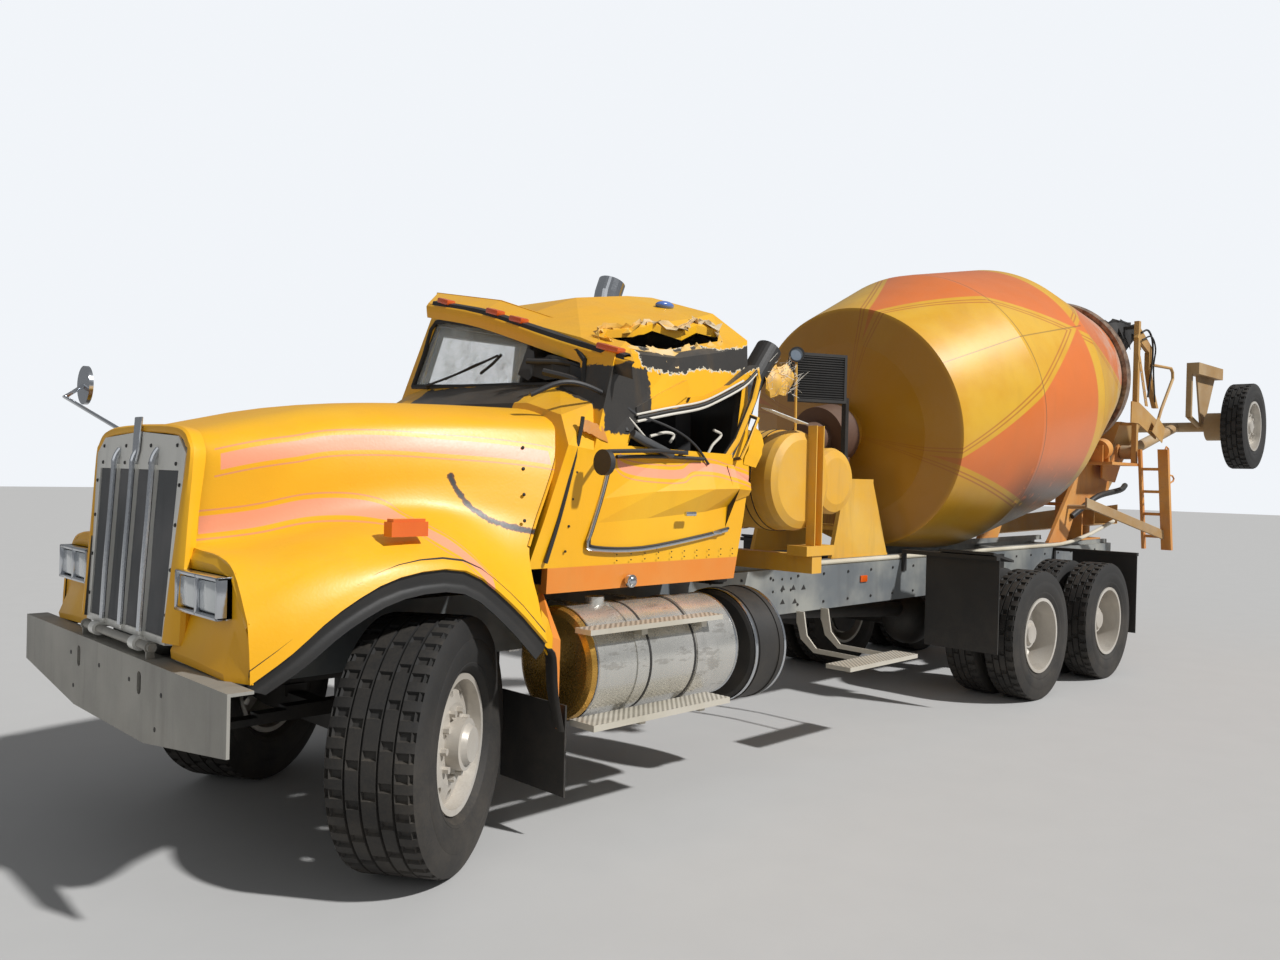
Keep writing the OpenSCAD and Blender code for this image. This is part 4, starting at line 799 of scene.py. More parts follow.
TORN_SHEET = Finish(
    "torn_sheet", (0.74, 0.42, 0.05), (0.7, 0.62, 0.48), rough=0.6, wear=0.35, rust=(0.55, 0.5, 0.42),
    dirt_share=0.2,
)
AMBER = Plain("amber_lens", (0.62, 0.085, 0.004), (0.74, 0.14, 0.008), rough=0.2, dirt_share=0.12, coat=0.6)
BLUE_LENS = Plain("blue_lens", (0.03, 0.1, 0.45), (0.1, 0.2, 0.5), rough=0.2, dirt_share=0.15, coat=0.6)
LENS = Plain(
    "clear_lens", (0.5, 0.54, 0.56), (0.72, 0.75, 0.76), rough=0.08, metal=0.6, dirt_share=0.08, coat=0.8,
)
DIAL = Plain("dial_face", (0.16, 0.22, 0.3), (0.25, 0.3, 0.36), rough=0.3, dirt_share=0.15)
RIM_PAINT = Finish(
    "rim_paint", (0.5, 0.46, 0.4), (0.6, 0.57, 0.52), rough=0.35, metal=0.3, wear=0.15, dirt_share=0.3,
)
BROWN_STEEL = Finish(
    "brown_steel", (0.085, 0.038, 0.022), (0.14, 0.075, 0.045), rough=0.7, wear=0.5, dirt_share=0.3,
)
BOOSTER_PAINT = Finish(
    "booster_paint", (0.36, 0.2, 0.06), (0.46, 0.31, 0.15), rough=0.6, wear=0.4, dirt=Dirt.CEMENT,
    dirt_share=0.5,
)
HOSE_SKIN = Plain("hose_skin", (0.52, 0.47, 0.36), (0.62, 0.58, 0.48), rough=0.6, dirt_share=0.3)
WINDOW = Glazing("window_glass")

NODE_FINISH: dict[str, Finish | Glazing] = {
    node: finish
    for finish, nodes in (
        (FRAME_PAINT, "frame_rails"),
        (BUMPER_STEEL, "bumper"),
        (BLACK_STEEL, "engine_block front_axle rear_drive_line round_tank exhaust_stack oil_cooler"),
        (BLACK_STEEL, "knuckle_left knuckle_right"),
        (ALUMINIUM, "fuel_tanks"),
        (STEP_METAL, "side_steps"),
        (SHEET_RUBBER, "mud_flaps hopper fender_flares"),
        (CAB_YELLOW, "cab_shell left_door right_door"),
        (BONNET_YELLOW, "hood"),
        (WINDOW, "cab_glass right_door_glass"),
        (TRIM, "cab_interior left_mirror"),
        (BRIGHT_STEEL, "right_stack headlamps hood_mirror"),
        (PALE_STEEL, "grille"),
        (AMBER, "turn_lamps"),
        (WORN_YELLOW, "water_tank front_pedestal"),
        (BROWN_STEEL, "drum_gearbox"),
        (ORANGE, "rear_pedestal rear_ladder"),
        (OCHRE, "hopper_frame collector chute"),
        (HOSE_SKIN, "pressure_hose"),
        (DRUM_YELLOW, "drum"),
        (BOOSTER_PAINT, "booster_arm"),
    )
    for node in nodes.split()
}


def row(points: Iterable[Point], side: int = 1) -> list[Vector]:
    """Points counted from the front axle, mirrored to the right side where side is -1."""
    return [at(x, side * y, z) for x, y, z in points]


def level(line: Iterable[Point], y: float, shift: Point = (0.0, 0.0)) -> list[Vector]:
    """A line of stations and heights at a distance from the middle, moved by a shift."""
    return [at(x + shift[0], y, z + shift[1]) for x, z in line]


def towards(axis: Point) -> Matrix:
    """The turn that takes the upright to an axis."""
    return Vector((0, 0, 1)).rotation_difference(Vector(axis)).to_matrix()


def placed(name: str, data: bpy.types.ID) -> bpy.types.Object:
    """Puts an object into the scene.

    Args:
        name: Its name.
        data: Its mesh, lamp or camera.

    Returns:
        The object.
    """
    made = bpy.data.objects.new(name, data)
    bpy.context.scene.collection.objects.link(made)
    return made


class Shape:
    """One piece's mesh, built up by mesh operators; each of them gives the shape back."""

    def __init__(self) -> None:
        """Starts with no faces."""
        self.bm = bmesh.new()

    def _bevel(self, verts: Sequence[bmesh.types.BMVert], width: float, segments: int = 2) -> None:
        """Rounds the edges between some corners.

        Args:
            verts: The corners.
            width: How far the rounding reaches.
            segments: The faces across it.
        """
        if width <= 0:
            return
        inside = set(verts)
        edges = [e for e in self.bm.edges if e.verts[0] in inside and e.verts[1] in inside]
        bmesh.ops.bevel(
            self.bm, geom=edges, offset=width, segments=segments, profile=0.5, affect="EDGES", material=-1,
            clamp_overlap=True,
        )

    def move(self, verts: Sequence[bmesh.types.BMVert], turn: Matrix, place: Point) -> None:
        """Turns some corners about the origin, then moves them by a vector."""
        bmesh.ops.rotate(self.bm, cent=(0, 0, 0), matrix=turn, verts=verts)
        bmesh.ops.translate(self.bm, vec=place, verts=verts)

    def face_out(self, verts: Iterable[bmesh.types.BMVert] | None = None) -> "Shape":
        """Makes faces look outwards.

        Args:
            verts: The corners whose faces are meant, or None for all faces.

        Returns:
            The shape itself.
        """
        faces = self.bm.faces[:] if verts is None else list({f for v in verts for f in v.link_faces})
        bmesh.ops.recalc_face_normals(self.bm, faces=faces)
        return self

    def block(self, low: Point, high: Point, bevel: float = 0.003, turn: Matrix | None = None) -> "Shape":
        """A box with rounded edges.

        Args:
            low: Its lowest corner.
            high: Its highest corner.
            bevel: The rounding of its edges.
            turn: A turn about its middle.

        Returns:
            The shape itself.
        """
        made = bmesh.ops.create_cube(self.bm, size=1.0)["verts"]
        bmesh.ops.scale(self.bm, vec=Vector(high) - Vector(low), verts=made)
        self.move(made, turn or Matrix.Identity(3), (Vector(high) + Vector(low)) / 2)
        self._bevel(made, bevel)
        return self

    def rod(self, start: Point, end: Point, radius: float, sides: int = 16, bevel: float = 0.0,
            end_radius: float | None = None) -> "Shape":
        """A round bar or a cone.

        Args:
            start: The middle of its first end.
            end: The middle of its last end.
            radius: Its radius.
            sides: The sides round it.
            bevel: The rounding of its edges.
            end_radius: The radius at the last end, where it differs.

        Returns:
            The shape itself.
        """
        a, b = Vector(start), Vector(end)
        last = radius if end_radius is None else end_radius
        made = bmesh.ops.create_cone(
            self.bm, cap_ends=True, segments=sides, radius1=radius, radius2=last, depth=(b - a).length
        )["verts"]
        self.move(made, towards(b - a), (a + b) / 2)
        self._bevel(made, bevel)
        return self

    def ball(self, middle: Point, radius: float, stretch: Point = (1, 1, 1)) -> "Shape":
        """A ball.

        Args:
            middle: Its middle.
            radius: Its radius.
            stretch: Factors that flatten or stretch it.

        Returns:
            The shape itself.
        """
        made = bmesh.ops.create_uvsphere(self.bm, u_segments=16, v_segments=10, radius=radius)["verts"]
        bmesh.ops.scale(self.bm, vec=stretch, verts=made)
        bmesh.ops.translate(self.bm, vec=middle, verts=made)
        return self

    def plate(self, outline: Iterable[Point], thickness: Point, bevel: float = 0.0) -> "Shape":
        """A plate.

        Args:
            outline: The points round it.
            thickness: The vector along which it is made thick.
            bevel: The rounding of its edges.

        Returns:
            The shape itself.
        """
        verts = [self.bm.verts.new(p) for p in outline]
        made = bmesh.ops.extrude_face_region(self.bm, geom=[self.bm.faces.new(verts)])
        top = [v for v in made["geom"] if isinstance(v, bmesh.types.BMVert)]
        bmesh.ops.translate(self.bm, vec=thickness, verts=top)
        self.face_out(verts + top)
        self._bevel(verts + top, bevel, 1)
        return self

    def turned(self, profile: Sequence[Point], middle: Point, axis: Point, steps: int = 64) -> "Shape":
        """A closed profile spun round an axis.

        Args:
            profile: The radius and the height of each point.
            middle: The point on the axis at height zero.
            axis: The axis's direction.
            steps: The number of steps round it.

        Returns:
            The shape itself.
        """
        verts = [self.bm.verts.new((r, 0, h)) for r, h in profile]
        edges = [self.bm.edges.new(pair) for pair in zip(verts, verts[1:] + verts[:1])]
        before = set(self.bm.verts) - set(verts)
        bmesh.ops.spin(
            self.bm, geom=verts + edges, cent=(0, 0, 0), axis=(0, 0, 1), angle=2 * math.pi, steps=steps,
            use_merge=True, use_duplicate=False,
        )
        bmesh.ops.remove_doubles(self.bm, verts=[v for v in self.bm.verts if v not in before], dist=1e-5)
        made = [v for v in self.bm.verts if v not in before]
        self.move(made, towards(axis), middle)
        return self.face_out(made)

    def hoop(self, middle: Point, axis: Point, radii: Pair, halves: Pair) -> "Shape":
        """A thin ring, given by its inner and outer radius and by half its width at each of them."""
        (inner, outer), (foot, top) = radii, halves
        return self.turned([(inner, -foot), (outer, -top), (outer, top), (inner, foot)], middle, axis)

    def tube(self, points: Sequence[Point], radius: float, sides: int = 8, curl: int = 4) -> "Shape":
        """A round tube along a smooth line through some points.

        Args:
            points: The points that the line passes.
            radius: The tube's radius.
            sides: The number of sides round it.
            curl: The steps between two points.

        Returns:
            The shape itself.
        """
        line = smooth_line(points, curl)
        normal = (line[1] - line[0]).orthogonal().normalized()
        rings: list[list[bmesh.types.BMEdge]] = []
        for i, point in enumerate(line):
            ahead = (line[min(i + 1, len(line) - 1)] - line[max(i - 1, 0)]).normalized()
            normal = (normal - ahead * normal.dot(ahead)).normalized()
            made = bmesh.ops.create_circle(self.bm, cap_ends=False, segments=sides, radius=radius)["verts"]
            self.move(made, Matrix((normal, ahead.cross(normal), ahead)).transposed(), point)
            rings.append(list({e for v in made for e in v.link_edges}))
        faces: list[bmesh.types.BMFace] = []
        for first, second in zip(rings, rings[1:]):
            faces += bmesh.ops.bridge_loops(self.bm, edges=first + second)["faces"]
        for ring in (rings[0], rings[-1]):
            faces += bmesh.ops.contextual_create(self.bm, geom=ring)["faces"]
        bmesh.ops.recalc_face_normals(self.bm, faces=faces)
        return self

    def skin(self, rows: Sequence[Sequence[Point]], curl: int = 1, curl_across: int = 1) -> "Shape":
        """A smooth sheet through rows of points.

        Args:
            rows: Rows of points, each with as many points.
            curl: The steps between two points of a row.
            curl_across: The steps between two rows.

        Returns:
            The shape itself.
        """
        lines = [smooth_line(row, curl) for row in rows]
        columns = [smooth_line([line[i] for line in lines], curl_across) for i in range(len(lines[0]))]
        wide, long = len(columns[0]), len(columns)
        made = bmesh.ops.create_grid(self.bm, x_segments=wide - 1, y_segments=long - 1, size=1.0)["verts"]
        made.sort(key=lambda v: (round(v.co.y, 4), round(v.co.x, 4)))
        for k, vert in enumerate(made):
            vert.co = columns[k // wide][k % wide]
        return self

    def thicken(self, thickness: float, outward: Point) -> "Shape":
        """Gives the sheets made so far a thickness.

        Args:
            thickness: How thick they become, inwards.
            outward: The direction that their outer side faces on the whole.

        Returns:
            The shape itself.
        """
        faces = self.bm.faces[:]
        lean = sum((f.normal * f.calc_area() for f in faces), Vector()).dot(Vector(outward))
        if lean < 0:
            bmesh.ops.reverse_faces(self.bm, faces=faces)
        bmesh.ops.solidify(self.bm, geom=faces, thickness=thickness)
        return self.face_out()

    def studs(self, places: Iterable[Point], out: Point, radius: float = 0.006, height: float = 0.004,
              sides: int = 8) -> "Shape":
        """Rivets or bolt heads.

        Args:
            places: Where they stand.
            out: The direction in which they stand out.
            radius: Their radius.
            height: How far they stand out.
            sides: The sides round each.

        Returns:
            The shape itself.
        """
        away = Vector(out)
        for place in places:
            self.rod(place - away * 0.002, place + away * height, radius, sides, 0.0, radius * 0.8)
        return self

    def torn(
        self, edge: Sequence[Point], out: Point, depth: float, seed: int, fine: int = 5, sway: float = 0.3,
    ) -> "Shape":
        """A ragged strip along an edge.

        Args:
            edge: The points of the edge that the strip hangs on.
            out: The direction in which it sticks out.
            depth: How far it sticks out at most.
            seed: The seed of its teeth.
            fine: The number of teeth between two points.
            sway: How far the teeth lean to a side, as a share of the depth.

        Returns:
            The shape itself.
        """
        dice = random.Random(seed)
        line = smooth_line(edge, fine)
        rows: list[list[Vector]] = [[], [], []]
        away = Vector(out)
        for i, point in enumerate(line):
            along = (line[min(i + 1, len(line) - 1)] - line[max(i - 1, 0)]).normalized()
            reach = depth * dice.uniform(0.15, 1.0)
            bend = along.cross(away).normalized() * dice.uniform(-1, 1) * sway * depth
            rows[0].append(point)
            rows[1].append(point + away * reach * 0.5 + bend * 0.4)
            rows[2].append(point + away * reach + bend + along * dice.uniform(-1, 1) * sway * depth)
        return self.skin(rows)

    def crumpled(self, rows: Sequence[Sequence[Point]], depth: float, seed: int, curl: int = 5) -> "Shape":
        """A crumpled sheet.

        Args:
            rows: Rows of points, each with as many points.
            depth: How far its points are pushed at random, at most.
            seed: The seed of the pushes.
            curl: The steps between two points of a row.

        Returns:
            The shape itself.
        """
        dice = random.Random(seed)
        fine = [smooth_line(row, curl) for row in rows]
        for line in fine:
            line[:] = [p + Vector([dice.uniform(-1, 1) * depth for _ in range(3)]) for p in line]
        return self.skin(fine, 1, 3)

    def piece(
        self, name: str, body: str, finish: Finish | Glazing, slot: str, crease: float = 35.0,
    ) -> bpy.types.Object:
        """Turns the mesh into an object that rides on a body.

        Args:
            name: The piece's name.
            body: The body it moves with.
            finish: Its finish.
            slot: The record's material slot; it is not used.
            crease: The angle in degrees above which an edge stays sharp.

        Returns:
            The object.
        """
        mesh = bpy.data.meshes.new(name)
        self.bm.to_mesh(mesh)
        self.bm.free()
        for face in mesh.polygons:
            face.use_smooth = True
        mesh.set_sharp_from_angle(angle=math.radians(crease))
        mesh.materials.append(finish.material())
        made = placed(name, mesh)
        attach(made, body)
        LOG.info("%s: %d faces on %s", name, len(mesh.polygons), body)
        return made


def smooth_line(points: Sequence[Point], curl: int) -> list[Vector]:
    """Draws a smooth line through some points.

    Args:
        points: The points.
        curl: The steps for each stretch between two of them.

    Returns:
        The line's points.
    """
    p = [Vector(q) for q in points]
    if curl <= 1 or len(p) < 3:
        return p
    out: list[Vector] = []
    for i in range(len(p) - 1):
        before = p[i - 1] if i else p[0] * 2 - p[1]
        after = p[i + 2] if i + 2 < len(p) else p[-1] * 2 - p[-2]
        for k in range(curl):
            t = k / curl
            square = (2 * before - 5 * p[i] + 4 * p[i + 1] - after) * t * t
            cube = (3 * p[i] - before - 3 * p[i + 1] + after) * t ** 3
            out.append(0.5 * (2 * p[i] + (p[i + 1] - before) * t + square + cube))
    return out + [p[-1]]


@dataclass
class Studio:
    """The floor, the lamps and the camera, at the photograph's point of view."""

    place: Triple = (7.9525, 4.6566, 1.727)
    heading: float = 225.05
    pitch: float = -0.32
    roll: float = 1.35
    focal: float = 1019.39 / 1280.0
    sensor: float = 36.0
    floor_size: float = 70.0
    sky: Colour = (0.93, 0.96, 1.0)
    sky_strength: Pair = (0.25, 0.95)

    def camera(self) -> None:
        """Sets up the camera."""
        yaw, pitch, roll = (math.radians(v) for v in (self.heading, self.pitch, self.roll))
        ahead = Vector((math.cos(yaw) * math.cos(pitch), math.sin(yaw) * math.cos(pitch), math.sin(pitch)))
        level = Vector((math.sin(yaw), -math.cos(yaw), 0.0))
        top = level.cross(ahead)
        right = level * math.cos(roll) + top * math.sin(roll)
        top = top * math.cos(roll) - level * math.sin(roll)
        data = bpy.data.cameras.new("camera")
        data.sensor_width = self.sensor
        data.lens = self.sensor * self.focal
        data.clip_end = 400.0
        made = placed("camera", data)
        turn = Matrix((right, top, -ahead)).transposed().to_4x4()
        made.matrix_world = Matrix.Translation(self.place) @ turn
        bpy.context.scene.camera = made

    def floor(self) -> None:
        """Lays the floor."""
        bm = bmesh.new()
        bmesh.ops.create_grid(bm, x_segments=4, y_segments=4, size=self.floor_size)
        mesh = bpy.data.meshes.new("floor")
        bm.to_mesh(mesh)
        bm.free()
        tree = Tree("studio_floor")
        grey = tree.noise(3.0, 4) * 0.03 + 0.46
        tree.finish(base_color=tree.mix(grey, (0.0, 0.0, 0.0), (1.0, 0.99, 0.97)), roughness=0.9)
        mesh.materials.append(tree.material)
        placed("floor", mesh)

    def sun(self, name: str, place: Point, strength: float, angle: float) -> None:
        """Adds a sun.

        Args:
            name: Its name.
            place: The side that it shines from.
            strength: Its strength.
            angle: Its size, as an angle in degrees.
        """
        data = bpy.data.lights.new(name, "SUN")
        data.energy = strength
        data.angle = math.radians(angle)
        turn = Vector(place).to_track_quat("Z", "Y").to_matrix().to_4x4()
        placed(name, data).matrix_world = Matrix.Translation(place) @ turn

    def light(self) -> None:
        """Lights the object, with a pale background where the camera or glass sees the world."""
        self.sun("key", (-4, 12, 12), 3.9, 2.5)
        self.sun("fill", (12, 6, 7), 0.22, 40.0)
        world = bpy.data.worlds.new("studio")
        bpy.context.scene.world = world
        world.use_nodes = True
        nodes, links = world.node_tree.nodes, world.node_tree.links
        path = nodes.new("ShaderNodeLightPath")
        seen = nodes.new("ShaderNodeMath")
        seen.operation = "MAXIMUM"
        links.new(path.outputs["Is Camera Ray"], seen.inputs[0])
        links.new(path.outputs["Is Transmission Ray"], seen.inputs[1])
        strength = nodes.new("ShaderNodeMapRange")
        for key, value in zip(("To Min", "To Max"), self.sky_strength):
            strength.inputs[key].default_value = value
        links.new(seen.outputs[0], strength.inputs[0])
        links.new(strength.outputs[0], nodes["Background"].inputs["Strength"])
        nodes["Background"].inputs["Color"].default_value = (*self.sky, 1.0)

    def build(self) -> None:
        """Sets up everything that is not part of the truck."""
        bpy.context.scene.view_settings.view_transform = "Standard"
        self.camera()
        self.floor()
        self.light()


@dataclass(frozen=True)
class TyreKind:
    """The measures of a kind of tyre, with its grooves as shares of half the tread."""

    radius: float
    width: float
    rim_width: float
    grooves: tuple[float, ...]
    lugs: int
    rim_radius: float = 0.286

    def half(self) -> list[Pair]:
        """Draws half the section of the tyre.

        Returns:
            The radius and the height of each point, from the bead to the edge of the tread.
        """
        rim, width, rise = self.rim_radius, self.width, self.radius - self.rim_radius
        flange = self.rim_width / 2 - 0.01
        bead = [(rim + 0.001, flange), (rim + 0.015, flange), (rim + 0.022, flange + 0.002)]
        foot = [(rim + up, width * out) for up, out in ((0.045, 0.45), (0.058, 0.462), (0.062, 0.458))]
        wall = ((0.42, 0.499), (0.6, 0.49), (0.62, 0.483), (0.66, 0.484))
        crown = ((0.045, 0.466), (0.026, 0.452), (0.006, 0.425))
        bulge = [(rim + share * rise, width * out) for share, out in wall]
        return bead + foot + bulge + [(self.radius - down, width * out) for down, out in crown]


FRONT_TYRE = TyreKind(0.55, 0.425, 0.335, (0.62, 0.22, -0.22, -0.62), 44)
REAR_TYRE = TyreKind(0.515, 0.275, 0.235, (0.5, 0.0, -0.5), 40)


@dataclass
class Wheels:
    """The tyres with their tread and sidewalls, in the place of the plain ones."""

    kingpin_y: float = 0.93
    inset: float = 0.027
    steer: Pair = (35.0, 30.0)
    rear_y: Pair = (0.7495, 1.0825)
    axles: Pair = (-5.554, -6.948)
    booster: Triple = (-11.43, 1.0775, 2.48)
    tread_share: float = 0.38
    groove_half: float = 0.006
    groove_depth: float = 0.013
    lug_inset: float = 0.007
    shoulder: float = 0.024

    def tyre(self, shape: Shape, kind: TyreKind, middle: Vector, axis: Vector) -> None:
        """Spins one tyre and cuts its tread.

        Args:
            shape: The shape that it joins.
            kind: The kind of tyre.
            middle: The wheel's middle.
            axis: The axle's direction.
        """
        half, tread, radius = kind.half(), kind.width * self.tread_share, kind.radius
        wide, floor = self.groove_half, radius - self.groove_depth
        top: list[Pair] = [(radius, tread)]
        for place in sorted(kind.grooves, reverse=True):
            mid = place * tread
            top += [
                (radius, mid + wide), (floor, mid + wide / 2), (floor, mid - wide / 2), (radius, mid - wide),
            ]
        top.append((radius, -tread))
        before = set(shape.bm.faces)
        shape.turned(half + top + [(r, -h) for r, h in reversed(half)], (0, 0, 0), (0, 0, 1), kind.lugs * 2)
        cut: list[bmesh.types.BMFace] = []
        for face in [f for f in shape.bm.faces if f not in before]:
            spot = face.calc_center_median()
            reach = math.hypot(spot.x, spot.y)
            if reach < radius - self.shoulder or abs(face.normal.z) > 0.7:
                continue
            lane = sum(1 for g in kind.grooves if spot.z > g * tread)
            step = int(round(math.atan2(spot.y, spot.x) / (2 * math.pi) * kind.lugs * 2 - 0.5))
            outer = abs(spot.z) > tread * max(abs(g) for g in kind.grooves)
            pitch, depth = (2, self.shoulder) if outer else (4, 0.0)
            if (step + lane) % pitch == 0 and reach > radius - depth - 0.002:
                cut.append(face)
        bmesh.ops.inset_individual(
            shape.bm, faces=cut, thickness=self.lug_inset, depth=0.0, use_even_offset=True,
        )
        for face in [f for f in cut if f.is_valid]:
            for vert in face.verts:
                flat = Vector((vert.co.x, vert.co.y, 0))
                if flat.length > floor - 0.0005:
                    vert.co -= flat.normalized() * self.groove_depth
        verts = list({v for f in shape.bm.faces if f not in before for v in f.verts})
        shape.move(verts, towards(axis), middle)

    def place(
        self, name: str, node: str, kind: TyreKind, spots: Sequence[tuple[Vector, Vector]], body: str,
    ) -> None:
        """Makes the tyres of one wheel body in place of its plain ones.

        Args:
            name: The piece's name.
            node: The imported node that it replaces.
            kind: The kind of tyre.
            spots: The middle and the axis of each tyre.
            body: The wheel body.
        """
        shape = Shape()
        for middle, axis in spots:
            self.tyre(shape, kind, middle, axis)
        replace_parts(shape.piece(name, body, TYRE, "tyre", 30), node)

    def build(self) -> None:
        """Makes every wheel's tyres."""
        across = Vector((0, 1, 0))
        for side, angle in zip(Side, self.steer):
            s, word, turn = side.value, side.word, math.radians(angle)
            axis = Vector((-math.sin(turn), math.cos(turn), 0.0))
            middle = at(0, s * self.kingpin_y, FRONT_TYRE.radius) - axis * (s * self.inset)
            self.place(f"front_tyre_tread_{word}", f"front_tyre_{word}", FRONT_TYRE, [(middle, axis)],
                       f"front_wheel_{word}")
            for i, x in enumerate(self.axles, 1):
                spots = [(at(x, s * y, REAR_TYRE.radius), across) for y in self.rear_y]
                self.place(f"rear_tread_{i}_{word}", f"rear_tyres_{i}_{word}", REAR_TYRE, spots,
                           f"rear_wheels_{i}_{word}")
            x, y, z = self.booster
            spots = [(at(x, s * y, z), across)]
            self.place(
                f"booster_tread_{word}", f"booster_tyre_{word}", REAR_TYRE, spots, f"booster_wheel_{word}",
            )


@dataclass
class Bonnet:
    """The bonnet with its fenders as one skin, the surround of the grille and the housings of the lamps.

    Each section gives a station, how far its top leans back, and the skin's line from the bonnet's crown over
    its shoulder, down its side and out over the fender, as distances from the middle with heights.
    """

    thickness: float = 0.012
    sections: tuple[tuple[float, float, Line], ...] = (
        (0.88, 0.06, (
            (0.0, 1.884), (0.25, 1.88), (0.44, 1.862), (0.515, 1.815), (0.535, 1.74), (0.52, 1.58),
            (0.505, 1.42), (0.6, 1.392), (0.8, 1.38), (0.95, 1.33), (1.075, 1.155), (1.095, 1.05),
            (1.108, 0.935),
        )),
        (0.74, 0.06, (
            (0.0, 1.915), (0.25, 1.912), (0.45, 1.897), (0.56, 1.84), (0.59, 1.75), (0.575, 1.62),
            (0.56, 1.45), (0.64, 1.405), (0.84, 1.39), (0.99, 1.35), (1.085, 1.262), (1.13, 1.16),
            (1.148, 1.04),
        )),
        (0.56, 0.05, (
            (0.0, 1.957), (0.25, 1.954), (0.46, 1.938), (0.6, 1.87), (0.64, 1.78), (0.64, 1.67), (0.64, 1.52),
            (0.7, 1.455), (0.88, 1.435), (1.01, 1.4), (1.09, 1.345), (1.145, 1.27), (1.17, 1.185),
        )),
        (0.31, 0.03, (
            (0.0, 2.01), (0.25, 2.006), (0.47, 1.99), (0.64, 1.92), (0.69, 1.82), (0.71, 1.72), (0.72, 1.6),
            (0.77, 1.52), (0.92, 1.475), (1.02, 1.44), (1.096, 1.395), (1.155, 1.35), (1.178, 1.3),
        )),
        (0.0, -0.01, (
            (0.0, 2.043), (0.25, 2.039), (0.5, 2.022), (0.7, 1.95), (0.76, 1.85), (0.785, 1.75), (0.8, 1.64),
            (0.84, 1.55), (0.94, 1.485), (1.03, 1.435), (1.1, 1.385), (1.155, 1.345), (1.178, 1.31),
        )),
        (-0.25, -0.08, (
            (0.0, 2.06), (0.25, 2.055), (0.54, 2.036), (0.76, 1.965), (0.82, 1.87), (0.855, 1.76),
            (0.875, 1.64), (0.9, 1.53), (0.96, 1.43), (1.03, 1.35), (1.095, 1.27), (1.15, 1.21),
            (1.178, 1.15),
        )),
        (-0.47, -0.18, (
            (0.0, 2.068), (0.25, 2.063), (0.58, 2.044), (0.81, 1.975), (0.88, 1.88), (0.925, 1.76),
            (0.95, 1.62), (0.965, 1.5), (0.99, 1.38), (1.03, 1.25), (1.075, 1.15), (1.11, 1.05), (1.15, 0.96),
        )),
    )
    lean_foot: float = 1.36
    lean_height: float = 0.55
    rear_lean: float = 1.6
    crease: int = 10
    flare: tuple[Triple, ...] = (
        (-0.055, 0.004, 0.0), (-0.01, 0.02, 0.0), (0.012, 0.034, 0.006), (0.018, 0.04, 0.024),
        (0.012, 0.03, 0.05), (0.01, 0.026, 0.076),
    )
    flare_reach: float = 1.225
    hub_height: float = 0.52

    def rise(self, z: float) -> float:
        """How far a height is above the foot of the bonnet's lean, as a share of the lean's height."""
        return max(0.0, z - self.lean_foot) / self.lean_height

    def rows(self, side: int) -> list[list[Vector]]:
        """The skin's sections, each leaning back with height above its foot.

        Args:
            side: 1 for the left half, -1 for the right one.

        Returns:
            The points of each section.
        """
        rows: list[list[Vector]] = []
        for station, lean, line in self.sections:
            back = -lean if lean > 0 else lean * self.rear_lean
            rows.append([at(station + back * self.rise(z), side * y, z) for y, z in line])
        return rows

    def skin(self) -> None:
        """The bonnet's two halves with their fenders, each with a sharp crease above the wheel arch."""
        shape = Shape()
        for side in SIDES:
            rows = self.rows(side)
            shape.skin([line[: self.crease + 1] for line in rows], 4, 3)
            shape.skin([line[self.crease:] for line in rows], 2, 3)
        bmesh.ops.remove_doubles(shape.bm, verts=shape.bm.verts[:], dist=1e-4)
        shape.face_out().thicken(self.thickness, (0, 0, 1))
        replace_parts(shape.piece("bonnet_skin", "bonnet", BONNET_YELLOW, "yellow_paint", 28), "hood")

    def front(self) -> None:
        """The surround that turns in to the grille, and each fender's front with the hood over its lamps."""
        shape = Shape()
        edge = ((0.0, 1.866), (0.3, 1.855), (0.445, 1.838), (0.505, 1.8), (0.532, 1.76), (0.51, 1.5),
                (0.492, 1.2), (0.484, 1.01))
        outer = ((0.0, 1.884), (0.3, 1.878), (0.46, 1.858), (0.53, 1.81), (0.56, 1.74), (0.56, 1.5),
                 (0.565, 1.2), (0.575, 1.01))
        lamp_hood = (
            ((0.866, 0.53, 1.392), (0.868, 0.8, 1.378), (0.868, 0.955, 1.325), (0.868, 1.078, 1.15)),
            ((0.884, 0.54, 1.352), (0.884, 0.8, 1.344), (0.88, 0.95, 1.3), (0.872, 1.07, 1.14)),
            ((0.876, 0.55, 1.31), (0.876, 0.8, 1.306), (0.876, 0.95, 1.28), (0.872, 1.06, 1.13)),
        )
        fender_front = (
            ((0.876, 0.54, 1.312), (0.876, 0.78, 1.308), (0.876, 0.955, 1.28), (0.872, 1.062, 1.13)),
            ((0.876, 0.54, 1.14), (0.876, 0.78, 1.135), (0.874, 0.97, 1.12), (0.868, 1.085, 1.08)),
            ((0.93, 0.51, 0.985), (0.93, 0.76, 0.98), (0.925, 1.0, 0.965), (0.868, 1.102, 0.96)),
            ((0.926, 0.51, 0.955), (0.926, 0.76, 0.95), (0.92, 1.0, 0.94), (0.866, 1.106, 0.936)),
        )
        for side in SIDES:
            shape.skin([
                [at(0.942 - 0.07 * (z - 1.0), side * y, z) for y, z in edge],
                [at(0.958 - 0.085 * (z - 1.0), side * (y + 0.012), z + 0.006) for y, z in edge],
                [at(0.93 - 0.06 * (z - 1.0), side * (y + 0.004), z + 0.002) for y, z in outer],
                [at(0.88 - 0.06 * self.rise(z), side * (y - 0.006), z - 0.004) for y, z in outer],
            ], 3, 3)
            for rows in (lamp_hood, fender_front):
                shape.skin([row(line, side) for line in rows])
